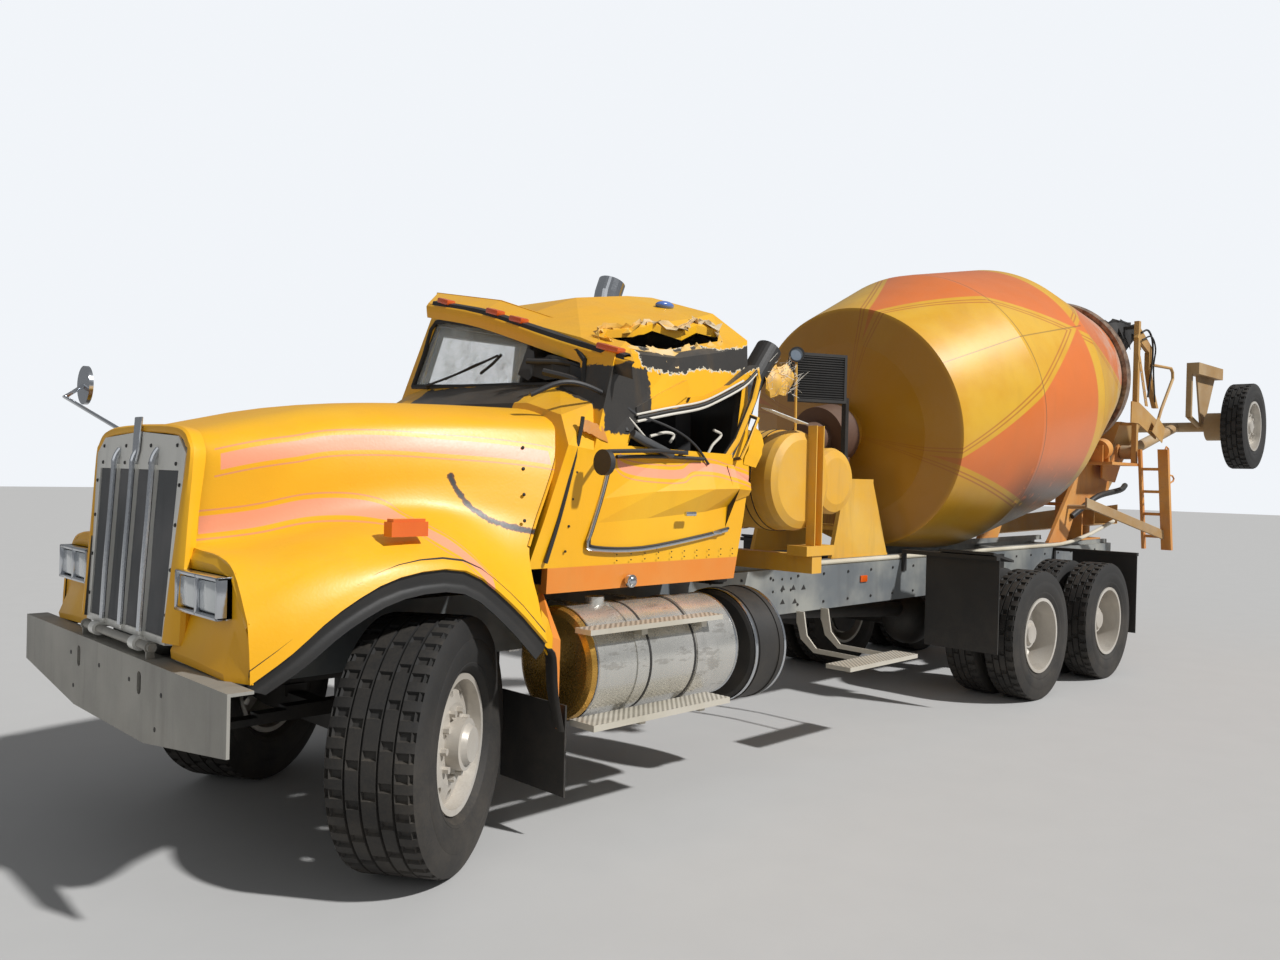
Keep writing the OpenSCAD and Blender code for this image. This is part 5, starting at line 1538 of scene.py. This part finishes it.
        shape.face_out().thicken(0.008, (-1, 0, 0)).piece(
            "bonnet_front", "bonnet", BONNET_YELLOW, "yellow_paint", 24,
        )

    def edges(self) -> None:
        """The rolled rear edge and the screws of the side seam."""
        shape = Shape()
        for side in SIDES:
            shape.tube([p + Vector((0.004, 0, 0.002)) for p in self.rows(side)[-1][:9]], 0.008, 8, 3)
        shape.piece("bonnet_rear_edge", "bonnet", BONNET_YELLOW, "yellow_paint")
        shape = Shape()
        for side in SIDES:
            for z in (1.5, 1.62, 1.74, 1.84):
                spot = at(-0.44 - 0.18 * (z - 1.36), side * (0.985 - 0.3 * (z - 1.45)), z)
                shape.ball(spot, 0.009, (1, 0.6, 1))
        shape.piece("bonnet_screws", "bonnet", BLACK_STEEL, "black_trim")

    def flares(self) -> None:
        """The rubber flares along the wheel arches, each a broad strip with a lip."""
        shape = Shape()
        for side in SIDES:
            rows: list[list[Vector]] = [[] for _ in self.flare]
            for station, _, line in self.sections:
                (y2, z2), (y, z) = line[-2:]
                out = Vector((0, y - y2, z - z2)).normalized()
                flat = Vector((0, -out.z, out.y))
                hub = Vector((-station, 0, self.hub_height - z)).normalized()
                for strip, (along, proud, hang) in zip(rows, self.flare):
                    spot = Vector((station, y, z)) + out * along - flat * proud + hub * hang
                    strip.append(at(spot.x, side * min(spot.y, self.flare_reach), spot.z))
            shape.skin(rows, 3, 4)
        shape.face_out().thicken(0.006, (0, 0, 1))
        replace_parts(shape.piece("arch_rubber", "bonnet", SHEET_RUBBER, "flap_rubber", 50), "fender_flares")

    def build(self) -> None:
        """Makes the bonnet's pieces."""
        self.skin()
        self.front()
        self.edges()
        self.flares()


@dataclass
class Grille:
    """The grille's bright bars, its wires and its rivets."""

    foot: float = 0.95
    lean: float = 0.0629
    low: float = 1.03
    high: float = 1.7
    bars: tuple[float, ...] = (-0.23, 0.0, 0.23)
    wire_count: int = 60
    half: float = 0.445

    def face(self, z: float, proud: float = 0.0) -> float:
        """The station of the grille's front face at a height, or of a place proud of it."""
        return self.foot - self.lean * (z - 1.0) + proud

    def bright_bars(self) -> None:
        """Three rounded bars whose tops reach over the panel above the wires."""
        shape = Shape()
        spots = ((self.low, 0.012), (1.25, 0.016), (1.5, 0.016), (1.69, 0.017), (1.735, 0.019), (1.765, 0.01),
                 (1.785, -0.002))
        for y in self.bars:
            shape.tube([at(self.face(z, proud), y, z) for z, proud in spots], 0.014, 10, 2)
        crown = ((-0.04, 1.925), (0.04, 1.925), (0.036, 1.78), (0.0, 1.705), (-0.036, 1.78))
        shape.plate([at(self.face(z, 0.004), y, z) for y, z in crown], (0.01, 0, 0), 0.003)
        shape.piece("grille_bars", "bonnet", BRIGHT_STEEL, "bright_trim")

    def wires(self) -> None:
        """The fine upright wires, in front of a dark backing."""
        shape = Shape()
        for i in range(self.wire_count + 1):
            y = self.half * (2 * i / self.wire_count - 1)
            foot = at(self.face(self.low, -0.009), y * 0.985, self.low)
            top = at(self.face(self.high, -0.009), y * 1.04, self.high)
            shape.rod(foot, top, 0.0042, 4)
        shape.piece("grille_wires", "bonnet", WIRE, "black_trim")
        back = [[at(self.face(z, -0.013), side * 0.455, z) for side in SIDES] for z in (self.low, self.high)]
        Shape().skin(back).piece("grille_backing", "bonnet", TRIM, "black_trim")

    def rivets(self) -> None:
        """The screws along the top panel and the side strips."""
        spots = [(y, z) for z in (1.725, 1.8) for y in (-0.44, -0.15, 0.15, 0.44)]
        spots += [(side * (0.462 + 0.05 * (z - 1.0)), z) for side in SIDES for z in (1.12, 1.3, 1.48, 1.64)]
        shape = Shape().studs([at(self.face(z), y, z) for y, z in spots], (1, 0, 0), 0.009, 0.005)
        shape.piece("grille_screws", "bonnet", BLACK_STEEL, "black_trim")

    def build(self) -> None:
        """Makes the grille's pieces."""
        self.bright_bars()
        self.wires()
        self.rivets()


@dataclass
class Headlamps:
    """The twin headlamps in their bright bezels."""

    back: float = 0.8665
    front: float = 0.942
    low: float = 1.15
    high: float = 1.312
    near: float = 0.545
    far: float = 0.95
    rim: float = 0.017
    gap: float = 0.004

    @staticmethod
    def blocks(shape: Shape, boxes: Iterable[Point], stations: Pair, bevel: float) -> None:
        """Adds the same boxes on both sides.

        Args:
            shape: The shape that they join.
            boxes: The near and far side and the lowest and highest height of each.
            stations: Where they start and end along the truck.
            bevel: The rounding of their edges.
        """
        for y0, y1, z0, z1 in boxes:
            for side in SIDES:
                low, high = sorted((side * y0, side * y1))
                shape.block(at(stations[0], low, z0), at(stations[1], high, z1), bevel)

    def bezel(self) -> None:
        """A bright frame round two recesses on each side."""
        shape = Shape()
        middle, rim = (self.near + self.far) / 2, self.rim
        self.blocks(shape, (
            (self.near, self.far, self.high - rim, self.high),
            (self.near, self.far, self.low, self.low + rim),
            (self.near, self.near + rim, self.low, self.high),
            (self.far - rim, self.far, self.low, self.high),
            (middle - rim / 2, middle + rim / 2, self.low, self.high),
        ), (self.back, self.front), 0.006)
        self.blocks(
            shape, ((self.near, self.far, self.low, self.high),), (self.back, self.front - 0.035), 0.004,
        )
        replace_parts(shape.piece("headlamp_bezels", "bonnet", BRIGHT_STEEL, "bright_trim"), "headlamps")

    def lenses(self) -> None:
        """Two square lenses in each bezel, each with a raised edge."""
        shape = Shape()
        width = (self.far - self.near - 3 * self.rim) / 2
        z0, z1 = self.low + self.rim + self.gap, self.high - self.rim - self.gap
        starts = [self.near + self.rim + k * (width + self.rim) + self.gap for k in (0, 1)]
        boxes = [(y0, y0 + width - 2 * self.gap, z0, z1) for y0 in starts]
        self.blocks(shape, boxes, (self.front - 0.036, self.front - 0.012), 0.01)
        shape.piece("headlamp_lenses", "bonnet", LENS, "bright_trim")

    def build(self) -> None:
        """Makes the lamps' pieces."""
        self.bezel()
        self.lenses()


@dataclass
class Cab:
    """The crushed cab's trim: visor, lamps, seals, torn roof, wiper and bent strips."""

    shell: bpy.types.Object
    visor_front: float = -1.05
    visor_edge: Line = ((-0.77, 2.76), (-0.22, 2.65), (0.5, 2.44), (1.07, 2.285))
    strip: Pair = (-0.72, 1.0)
    strip_steps: int = 16
    lamps: tuple[float, ...] = (-0.6, -0.1, 0.12, 0.88)
    lamp_slope: float = -14.5
    glass_plane: Pair = (-0.69, 0.3)
    floor: float = 1.15
    tear: Line = (
        (-1.18, 0.7), (-1.25, 0.85), (-1.5, 0.83), (-1.75, 0.81), (-2.0, 0.79), (-2.12, 0.7), (-1.98, 0.64),
        (-1.8, 0.69), (-1.65, 0.6), (-1.45, 0.65), (-1.3, 0.6), (-1.18, 0.7),
    )

    def edge_height(self, y: float) -> float:
        """The height of the visor's front edge.

        Args:
            y: The distance from the middle.

        Returns:
            The height there.
        """
        for (y0, z0), (y1, z1) in zip(self.visor_edge, self.visor_edge[1:]):
            if y <= y1:
                break
        return z0 + (z1 - z0) * (y - y0) / (y1 - y0)

    def drop(self, x: float, y: float, lift: float = 0.0) -> Vector:
        """The point of the cab's outer skin under a place above it.

        Args:
            x: The place's station.
            y: Its distance from the middle.
            lift: How far the point is moved up.

        Returns:
            The point.
        """
        tree = BVHTree.FromObject(self.shell, bpy.context.evaluated_depsgraph_get())
        start = at(x, y, 3.4)
        hit = tree.ray_cast(start, Vector((0, 0, -1)))[0]
        return (hit if hit is not None else start) + Vector((0, 0, lift))

    def visor(self) -> None:
        """The lip along the visor's front edge, with a black strip and amber lamps on it."""
        lip = [[at(self.visor_front + x, y, z + lift) for y, z in self.visor_edge]
               for x, lift in ((-0.004, -0.002), (0.012, -0.02), (0.004, -0.085))]
        shape = Shape().skin(lip, 4, 2).thicken(0.004, (1, 0, 0))
        shape.piece("visor_lip", "truck", CAB_YELLOW, "yellow_paint")
        start, end = self.strip
        ys = [start + (end - start) * i / self.strip_steps for i in range(self.strip_steps + 1)]
        rows = [[at(x, y, self.edge_height(y) + lift) for y in ys]
                for x, lift in ((-1.046, -0.008), (-1.052, 0.018), (-1.092, 0.028), (-1.1, 0.012))]
        Shape().skin(rows).thicken(0.003, (1, 0, 1)).piece("visor_strip", "truck", TRIM, "black_trim")
        shape = Shape()
        slope = Matrix.Rotation(math.radians(self.lamp_slope), 3, "X")
        for y in self.lamps:
            z = self.edge_height(y)
            wide = 0.058 if y < 0.5 else 0.085
            shape.block(at(-1.098, y - wide, z + 0.012), at(-1.038, y + wide, z + 0.044), 0.008, slope)
        shape.piece("marker_lamps", "truck", AMBER, "amber_lens")

    def on_glass(self, line: Iterable[Point], proud: float) -> list[Vector]:
        """A line of distances from the middle and heights, on the windscreen's plane or proud of it."""
        foot, lean = self.glass_plane
        return [at(foot - lean * (z - self.floor) + proud, y, z) for y, z in line]

    def windscreen(self) -> None:
        """The black seal round the windscreen, the post in its middle, and the bent wiper."""
        shape = Shape()
        for line in (
            (
                (-0.86, 2.24), (-0.835, 2.45), (-0.8, 2.655), (-0.4, 2.6), (0.0, 2.54), (0.65, 2.37),
                (0.76, 2.18),
            ),
            ((-0.86, 2.24), (-0.3, 2.215), (0.24, 2.2), (0.76, 2.18)),
            ((0.24, 2.2), (0.235, 2.34), (0.23, 2.475)),
        ):
            shape.tube(self.on_glass(line, 0.004), 0.016, 8, 3)
        shape.piece("windscreen_seal", "truck", SHEET_RUBBER, "black_trim")
        shape = Shape()
        for line, proud, radius, curl in (
            (((-0.671, 2.234), (-0.34, 2.3), (-0.009, 2.382)), 0.035, 0.007, 3),
            (((-0.45, 2.262), (-0.2, 2.335), (0.026, 2.377)), 0.05, 0.004, 2),
            (((-0.121, 2.284), (-0.03, 2.335), (0.03, 2.384)), 0.04, 0.009, 2),
        ):
            shape.tube(self.on_glass(line, proud), radius, 6, curl)
        shape.ball(self.on_glass([(-0.671, 2.234)], 0.012)[0], 0.022)
        shape.piece("wiper", "truck", BLACK_STEEL, "black_trim")

    def roof(self) -> None:
        """Torn edges round the hole in the roof, the lining in it, a hanging lobe and a blue lamp."""
        rim = [self.drop(x + (0.04 if x > -1.3 else 0), y + (0.035 if y > 0.72 else -0.035), 0.002)
               for x, y in self.tear]
        shape = Shape().torn(rim[:6], (0, -0.5, 0.25), 0.085, 3, 6)
        shape.torn(rim[5:], (0.1, 0.75, -0.15), 0.1, 8, 6).torn(rim[5:], (-0.1, 0.15, 0.7), 0.045, 21, 6)
        shape.thicken(0.003, (0, 0, 1)).piece("torn_roof_edges", "truck", TORN_SHEET, "yellow_paint", 20)
        inner = ((-1.24, 2.27), (-1.45, 2.33), (-1.62, 2.3), (-1.86, 2.4), (-2.08, 2.46), (-2.2, 2.42))
        outer = ((-1.24, 2.17), (-1.45, 2.2), (-1.62, 2.18), (-1.86, 2.26), (-2.08, 2.32), (-2.2, 2.3))
        rows = [level(inner, y) for y in (0.45, 0.56, 0.66)] + [level(outer, 0.8)]
        shape = Shape().crumpled(rows, 0.014, 5)
        shape.thicken(0.004, (0, 0, 1)).piece("roof_lining", "truck", LINING, "cab_trim", 30)
        shape = Shape().crumpled([
            row([(-1.34, 0.86, 2.405), (-1.48, 0.87, 2.4), (-1.63, 0.86, 2.4)]),
            row([(-1.37, 0.89, 2.36), (-1.48, 0.9, 2.34), (-1.62, 0.88, 2.35)]),
            row([(-1.43, 0.9, 2.32), (-1.5, 0.91, 2.305), (-1.59, 0.9, 2.325)]),
        ], 0.008, 11, 4)
        shape.thicken(0.003, (0, 1, 0)).piece("roof_lobe", "truck", TORN_SHEET, "yellow_paint", 30)
        shape = Shape().ball(self.drop(-2.06, 0.3) + Vector((0, 0, 0.012)), 0.055, (1.3, 0.8, 0.5))
        shape.piece("roof_lamp", "truck", BLUE_LENS, "bright_trim")

    def header(self) -> None:
        """The pale seal with its black core that follows the crushed header and the pillar."""
        line = ((-1.19, 1.998), (-1.42, 2.045), (-1.66, 2.09), (-1.81, 2.14), (-2.04, 2.24), (-2.155, 2.325),
                (-2.175, 2.29), (-2.13, 2.17), (-1.99, 1.93), (-1.905, 1.8))
        shape = Shape().tube(level(line, 0.96), 0.008).tube(level(line[:5], 0.968, (0.012, 0.034)), 0.006)
        shape.piece("header_seal", "truck", SEAL, "cab_trim")
        shape = Shape().tube(level(line[:6], 0.962, (0.0, 0.018)), 0.009)
        shape.tube(level(line[6:], 0.966, (-0.016, 0.004)), 0.008)
        shape.piece("header_rubber", "truck", SHEET_RUBBER, "black_trim")

    def strips(self) -> None:
        """The bent strips and trim that hang in the crushed window and the windscreen's left half."""
        shape = Shape()
        for radius, *line in (
            (0.013, (-0.62, 0.8, 2.1), (-0.753, 0.86, 2.166), (-0.881, 0.9, 2.162), (-1.059, 0.93, 2.099),
             (-1.221, 0.95, 2.019), (-1.284, 0.96, 2.01)),
            (0.018, (-0.9, 0.55, 2.25), (-0.99, 0.7, 2.206), (-1.029, 0.85, 2.125), (-1.107, 0.92, 2.001),
             (-1.115, 0.96, 1.937)),
            (0.007, (-1.21, 0.96, 2.031), (-1.454, 0.98, 1.966), (-1.615, 0.98, 1.892), (-1.708, 1.0, 1.79)),
            (0.015, (-0.95, 0.35, 2.32), (-1.05, 0.6, 2.3), (-1.15, 0.8, 2.2), (-1.25, 0.92, 2.09),
             (-1.42, 0.95, 2.05)),
            (0.01, (-1.019, 0.995, 1.812), (-1.35, 1.0, 1.822), (-1.666, 0.998, 1.818)),
            (0.022, (-1.05, 0.8, 2.28), (-1.2, 0.86, 2.24), (-1.4, 0.9, 2.26)),
        ):
            shape.tube(row(line), radius)
        shape.crumpled([row([(-0.98, 0.3, 2.38), (-1.02, 0.5, 2.33), (-1.06, 0.72, 2.27)]),
                        row([(-0.96, 0.3, 2.24), (-1.0, 0.5, 2.22), (-1.04, 0.72, 2.17)])], 0.02, 17)
        shape.piece("bent_strips_black", "truck", TRIM, "cab_trim")
        shape = Shape()
        for radius, *line in (
            (0.006, (-1.14, 0.95, 2.015), (-1.2, 0.96, 1.96), (-1.259, 0.97, 1.905)),
            (0.008, (-1.318, 0.93, 1.927), (-1.43, 0.93, 1.952), (-1.499, 0.93, 1.942), (-1.471, 0.93, 1.9)),
            (0.008, (-1.858, 0.9, 1.986), (-1.924, 0.9, 1.96), (-1.851, 0.9, 1.901), (-1.81, 0.9, 1.844)),
        ):
            shape.tube(row(line), radius)
        shape.piece("bent_strips_pale", "truck", SEAL, "cab_trim")
        shape = Shape().tube(
            row([(-1.13, 0.99, 1.931), (-1.229, 1.0, 1.891), (-1.409, 1.0, 1.832)]), 0.024, 12, 5,
        )
        shape.piece("bent_strip_ribbed", "truck", WIRE, "cab_trim")

    def sides(self) -> None:
        """The door's bright frame and handle, the seam beside it, screws and the side lamp."""
        frame = ((-0.985, 1.8), (-0.93, 1.62), (-0.862, 1.44), (-0.842, 1.385), (-0.885, 1.352),
                 (-1.213, 1.34), (-1.673, 1.39), (-1.89, 1.425))
        seam = ((-0.585, 1.3), (-0.66, 1.5), (-0.735, 1.73), (-0.795, 1.93), (-0.81, 2.0))
        shape = Shape().tube(level(frame, 0.988), 0.009)
        shape.piece("door_frame_edge", "truck", BRIGHT_STEEL, "bright_trim")
        shape = Shape().tube(level(frame, 0.986, (-0.014, 0.012)), 0.008)
        shape.tube([at(x, 0.984 - 0.035 * max(0.0, z - 1.6), z) for x, z in seam], 0.01, 6, 3)
        sill = [at(-1.05 - 0.1 * k, 0.981, z) for k in range(10) for z in (1.292, 1.322)]
        shape.studs(sill, (0, 1, 0), 0.004, 0.002, 6)
        pillar = [at(-0.7 - 0.16 * (z - 1.3), 0.981, z) for z in (1.35, 1.47, 1.6, 1.73)]
        shape.studs(pillar, (0, 1, 0), 0.007, 0.003)
        shape.piece("cab_seam", "truck", BLACK_STEEL, "black_trim")
        shape = Shape().crumpled([
            row([(-0.8, 0.972, 1.99), (-0.88, 0.975, 1.975), (-0.955, 0.972, 1.95)]),
            row([(-0.81, 0.98, 1.93), (-0.88, 0.984, 1.91), (-0.975, 0.98, 1.88)]),
        ], 0.004, 4, 4)
        shape.piece("scuffed_panel", "truck", ORANGE, "orange_paint")
        lamp = at(-1.142, 1.004, 1.185)
        shape = Shape().rod(at(-1.142, 0.978, 1.185), lamp, 0.034, 20, 0.004).ball(lamp, 0.026, (1, 0.5, 1))
        shape.block(at(-1.56, 1.035, 1.512), at(-1.48, 1.056, 1.536), 0.006)
        shape.block(at(-1.83, 0.985, 1.405), at(-1.76, 1.004, 1.425), 0.005)
        shape.piece("side_lamp_and_handle", "truck", BRIGHT_STEEL, "bright_trim")
        shape = Shape().crumpled([
            row([(-2.135, 0.962, 2.03), (-2.1, 0.975, 1.95), (-2.03, 0.98, 1.8)]),
            row([(-2.19, 0.966, 2.0), (-2.225, 0.975, 1.92), (-2.15, 0.98, 1.79)]),
        ], 0.006, 9, 4)
        shape.thicken(0.004, (0, 1, 0)).piece("rear_corner_panel", "truck", CAB_YELLOW, "yellow_paint", 30)

    def build(self) -> None:
        """Makes the cab's pieces."""
        self.visor()
        self.windscreen()
        self.roof()
        self.header()
        self.strips()
        self.sides()


@dataclass
class Deck:
    """What stands between the cab and the drum: torn sheet, grey plate, gauge and tank trim."""

    gauge: Triple = (-2.885, 0.7, 2.525)
    gauge_radius: float = 0.048
    fibres: int = 70


    def sheet(self) -> None:
        """The torn yellow sheet with its pale fibres, on the crushed stack."""
        shape = Shape().crumpled([
            row([(-2.41, 0.8, 2.37), (-2.55, 0.8, 2.43), (-2.685, 0.8, 2.42)]),
            row([(-2.4, 0.82, 2.3), (-2.55, 0.84, 2.33), (-2.7, 0.82, 2.34)]),
            row([(-2.44, 0.81, 2.24), (-2.55, 0.83, 2.22), (-2.66, 0.8, 2.26)]),
        ], 0.022, 31, 4)
        shape.thicken(0.004, (0, 1, 0)).piece("torn_sheet", "truck", WORN_YELLOW, "yellow_paint", 25)
        dice = random.Random(12)
        shape = Shape()
        for _ in range(self.fibres):
            start = Vector((dice.uniform(-2.72, -2.42), dice.uniform(0.8, 0.85), dice.uniform(2.22, 2.44)))
            end = start + Vector(
                (dice.uniform(-0.07, 0.05), dice.uniform(0.0, 0.05), dice.uniform(-0.04, 0.07))
            )
            shape.rod(at(*start), at(*end), 0.0022, 3, 0.0, 0.0008)
        shape.piece("torn_fibres", "truck", SEAL, "cab_trim")

    def plate(self) -> None:
        """The bent grey plate on the tank and its post."""
        outline = row([(-2.28, 0.9, 2.135), (-2.64, 0.9, 2.062), (-2.64, 0.985, 2.056), (-2.29, 0.975, 2.12)])
        Shape().plate(outline, (0, 0, 0.006), 0.001).piece(
            "grey_plate", "truck", PALE_STEEL, "tank_aluminium",
        )

    def dial(self) -> None:
        """The gauge's dark rim and its dial."""
        out = Vector((math.sqrt(0.5), math.sqrt(0.5), 0.0))
        middle, r = at(*self.gauge), self.gauge_radius
        shape = Shape().rod(middle + out * 0.0142, middle + out * 0.018, r * 0.82, 24)
        shape.piece("gauge_dial", "truck", DIAL, "bright_trim")
        rim = [(r * 0.84, 0.012), (r + 0.002, 0.012), (r + 0.002, 0.024), (r * 0.84, 0.024)]
        Shape().turned(rim, middle, out, 32).piece("gauge_rim", "truck", BLACK_STEEL, "black_trim")

    def tank_trim(self) -> None:
        """Dark edges of the straps on the cross tank."""
        shape = Shape()
        for y in (-0.45, -0.39, 0.43, 0.49, 0.73, 0.79):
            shape.hoop(at(-2.645, y, 1.712), (0, 1, 0), (0.3165, 0.3195), (0.003, 0.003))
        shape.piece("tank_strap_edges", "truck", BLACK_STEEL, "black_trim")

    def build(self) -> None:
        """Makes the deck's pieces."""
        self.sheet()
        self.plate()
        self.dial()
        self.tank_trim()


@dataclass
class Chassis:
    """Bolts and marks on the frame, the bumper's bolts, tank edges and the fenders' lower flares."""

    rail_y: float = 0.43
    bumper_front: float = 1.01
    bolt_pitch: float = 0.31
    bolt_count: int = 21
    tank_y: float = 0.865
    tank_z: float = 0.79

    def bolts(self) -> None:
        """Bolt heads along the rails' webs and on the bumper's face."""
        shape = Shape()
        for s in SIDES:
            spots = [at(-2.4 - self.bolt_pitch * k, s * self.rail_y, z)
                     for k in range(self.bolt_count) for z in (0.845, 1.045)]
            shape.studs(spots, (0, s, 0), 0.011, 0.008, 6)
        spots = ((-0.49, 0.847), (-0.1, 0.843), (-0.45, 0.7), (0.27, 0.842), (0.62, 0.834), (0.56, 0.691))
        shape.studs([at(self.bumper_front, y, z) for y, z in spots], (1, 0, 0), 0.012, 0.002, 6)
        shape.piece("frame_bolts", "truck", BLACK_STEEL, "black_frame")

    def marks(self) -> None:
        """The dark triangular notches and the amber reflector on the left rail."""
        shape = Shape()
        for x, z in ((-3.13, 0.955), (-3.25, 0.95), (-3.37, 0.945), (-3.13, 0.86), (-3.27, 0.855)):
            notch = level([(x, z), (x - 0.055, z), (x - 0.03, z + 0.035)], self.rail_y - 0.001)
            shape.plate(notch, (0, 0.0025, 0))
        shape.piece("rail_notches", "truck", BLACK_STEEL, "black_frame")
        shape = Shape().block(at(-4.2, self.rail_y, 0.955), at(-4.11, self.rail_y + 0.012, 1.005), 0.004)
        shape.piece("rail_reflector", "truck", AMBER, "amber_lens")

    def splash_flares(self) -> None:
        """The rubber flare's lower end, on the fixed guard behind each front wheel."""
        edge = ((-0.487, 1.108, 0.93), (-0.54, 1.08, 0.88), (-0.59, 1.04, 0.7), (-0.636, 1.035, 0.52))
        steps = ((-0.01, -0.045, 0.01), (0.012, 0.004, 0.01), (0.02, 0.04, 0.0), (0.008, 0.06, 0.0))
        shape = Shape()
        for side in SIDES:
            rows = [[at(x + dx, side * (y + dy), z + dz) for x, y, z in edge] for dx, dy, dz in steps]
            shape.skin(rows, 3, 3)
        shape.thicken(0.006, (1, 0, 0)).piece("lower_flares", "truck", SHEET_RUBBER, "flap_rubber", 50)

    def tank_edges(self) -> None:
        """Bright seams round the fuel tanks' ends, rings round the round tank and the tanks' dark straps."""
        shape = Shape()
        for side in SIDES:
            for x in (-0.792, -1.808):
                shape.hoop(
                    at(x, side * self.tank_y, self.tank_z), (1, 0, 0), (0.2795, 0.2835), (0.006, 0.004),
                )
        for x in (-2.012, -2.268):
            shape.hoop(at(x, 0.8, 0.75), (1, 0, 0), (0.3245, 0.329), (0.01, 0.008))
        shape.piece("tank_rings", "truck", BRIGHT_STEEL, "bright_trim")
        shape = Shape()
        for side in SIDES:
            for x in (-1.095, -1.145, -1.475, -1.525):
                shape.hoop(at(x, side * self.tank_y, self.tank_z), (1, 0, 0), (0.2795, 0.283), (0.008, 0.006))
        shape.piece("tank_straps", "truck", BLACK_STEEL, "black_trim")

    def build(self) -> None:
        """Makes the chassis's pieces."""
        self.bolts()
        self.marks()
        self.splash_flares()
        self.tank_edges()


@dataclass
class Rear:
    """The hopper's torn rubber, the dark pipes and the board beside the pedestal."""

    board_start: Triple = (-7.88, 0.6, 1.5)
    board_end: Triple = (-9.17, 0.915, 1.16)
    board_height: float = 0.1

    def rubber(self) -> None:
        """The ragged rubber sheet that hangs over the hopper and the drum's mouth."""
        rim = row([(-8.7, 0.44, 3.46), (-8.96, 0.5, 3.5), (-9.28, 0.5, 3.49), (-9.58, 0.5, 3.47)])
        other = [at(-9.6, y, 3.46) for y in (0.5, 0.17, -0.17, -0.5)]
        shape = Shape().torn(rim, (0, 0.12, -1), 0.28, 14, 6, 0.1).torn(rim, (0, 0.1, 0.5), 0.07, 15, 6, 0.3)
        shape.torn(other, (-0.12, 0, -1), 0.22, 16, 6, 0.1).thicken(0.005, (0, 1, 0))
        shape.piece("hopper_rubber", "truck", SHEET_RUBBER, "flap_rubber", 30)

    def pipes(self) -> None:
        """The dark curved pipe beside the pedestal, and two thin ones on the beam."""
        shape = Shape()
        for radius, sides, *line in (
            (0.03, 12, (-8.06, 0.4, 1.4), (-8.3, 0.47, 1.54), (-8.53, 0.5, 1.62), (-9.09, 0.5, 1.68),
             (-9.34, 0.46, 1.73)),
            (0.011, 8, (-9.06, 0.69, 3.38), (-9.22, 0.7, 3.42), (-9.36, 0.7, 3.33), (-9.38, 0.7, 3.12),
             (-9.3, 0.69, 2.7)),
            (0.009, 8, (-9.06, 0.7, 3.3), (-9.3, 0.71, 3.36), (-9.44, 0.71, 3.24), (-9.42, 0.7, 3.02),
             (-9.52, 0.69, 2.66)),
        ):
            shape.tube(row(line), radius, sides, 5)
        shape.piece("dark_pipes", "truck", BLACK_STEEL, "black_trim")

    def board(self) -> None:
        """The pale board from the pedestal to the ladder's foot, and the bar behind it."""
        start, end, up = at(*self.board_start), at(*self.board_end), Vector((0, 0, self.board_height))
        shape = Shape().plate([start, end, end + up, start + up], (0.005, 0.022, 0), 0.004)
        shape.rod(at(-8.0, 0.37, 1.5), at(-8.0, 0.64, 1.5), 0.022, 10)
        shape.piece("pale_board", "truck", BOOSTER_PAINT, "orange_paint")

    def build(self) -> None:
        """Makes the rear end's pieces."""
        self.rubber()
        self.pipes()
        self.board()


@dataclass
class Coat:
    """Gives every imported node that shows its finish."""

    nodes: Mapping[str, bpy.types.Object]

    def finish_for(self, name: str) -> Finish | Glazing:
        """The finish of a node."""
        if "rim" in name:
            return RIM_PAINT
        return TYRE if "tyre" in name else NODE_FINISH[name]

    def build(self) -> None:
        """Assigns the finishes."""
        for name, node in self.nodes.items():
            material = self.finish_for(name).material()
            if node.material_slots:
                for place in node.material_slots:
                    place.material = material
            else:
                node.data.materials.append(material)
            LOG.info("%s: %s", name, material.name)


def main() -> None:
    """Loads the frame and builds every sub-assembly."""
    logging.basicConfig(level=logging.INFO, format="%(message)s")
    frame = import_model()
    Coat(frame["nodes"]).build()
    parts: list[Callable[[], None]] = [
        Studio().build, Wheels().build, Bonnet().build, Grille().build, Headlamps().build,
        Cab(shell=frame["nodes"]["cab_shell"]).build, Deck().build, Chassis().build, Rear().build,
    ]
    for build in parts:
        build()


if __name__ == "__main__":
    main()
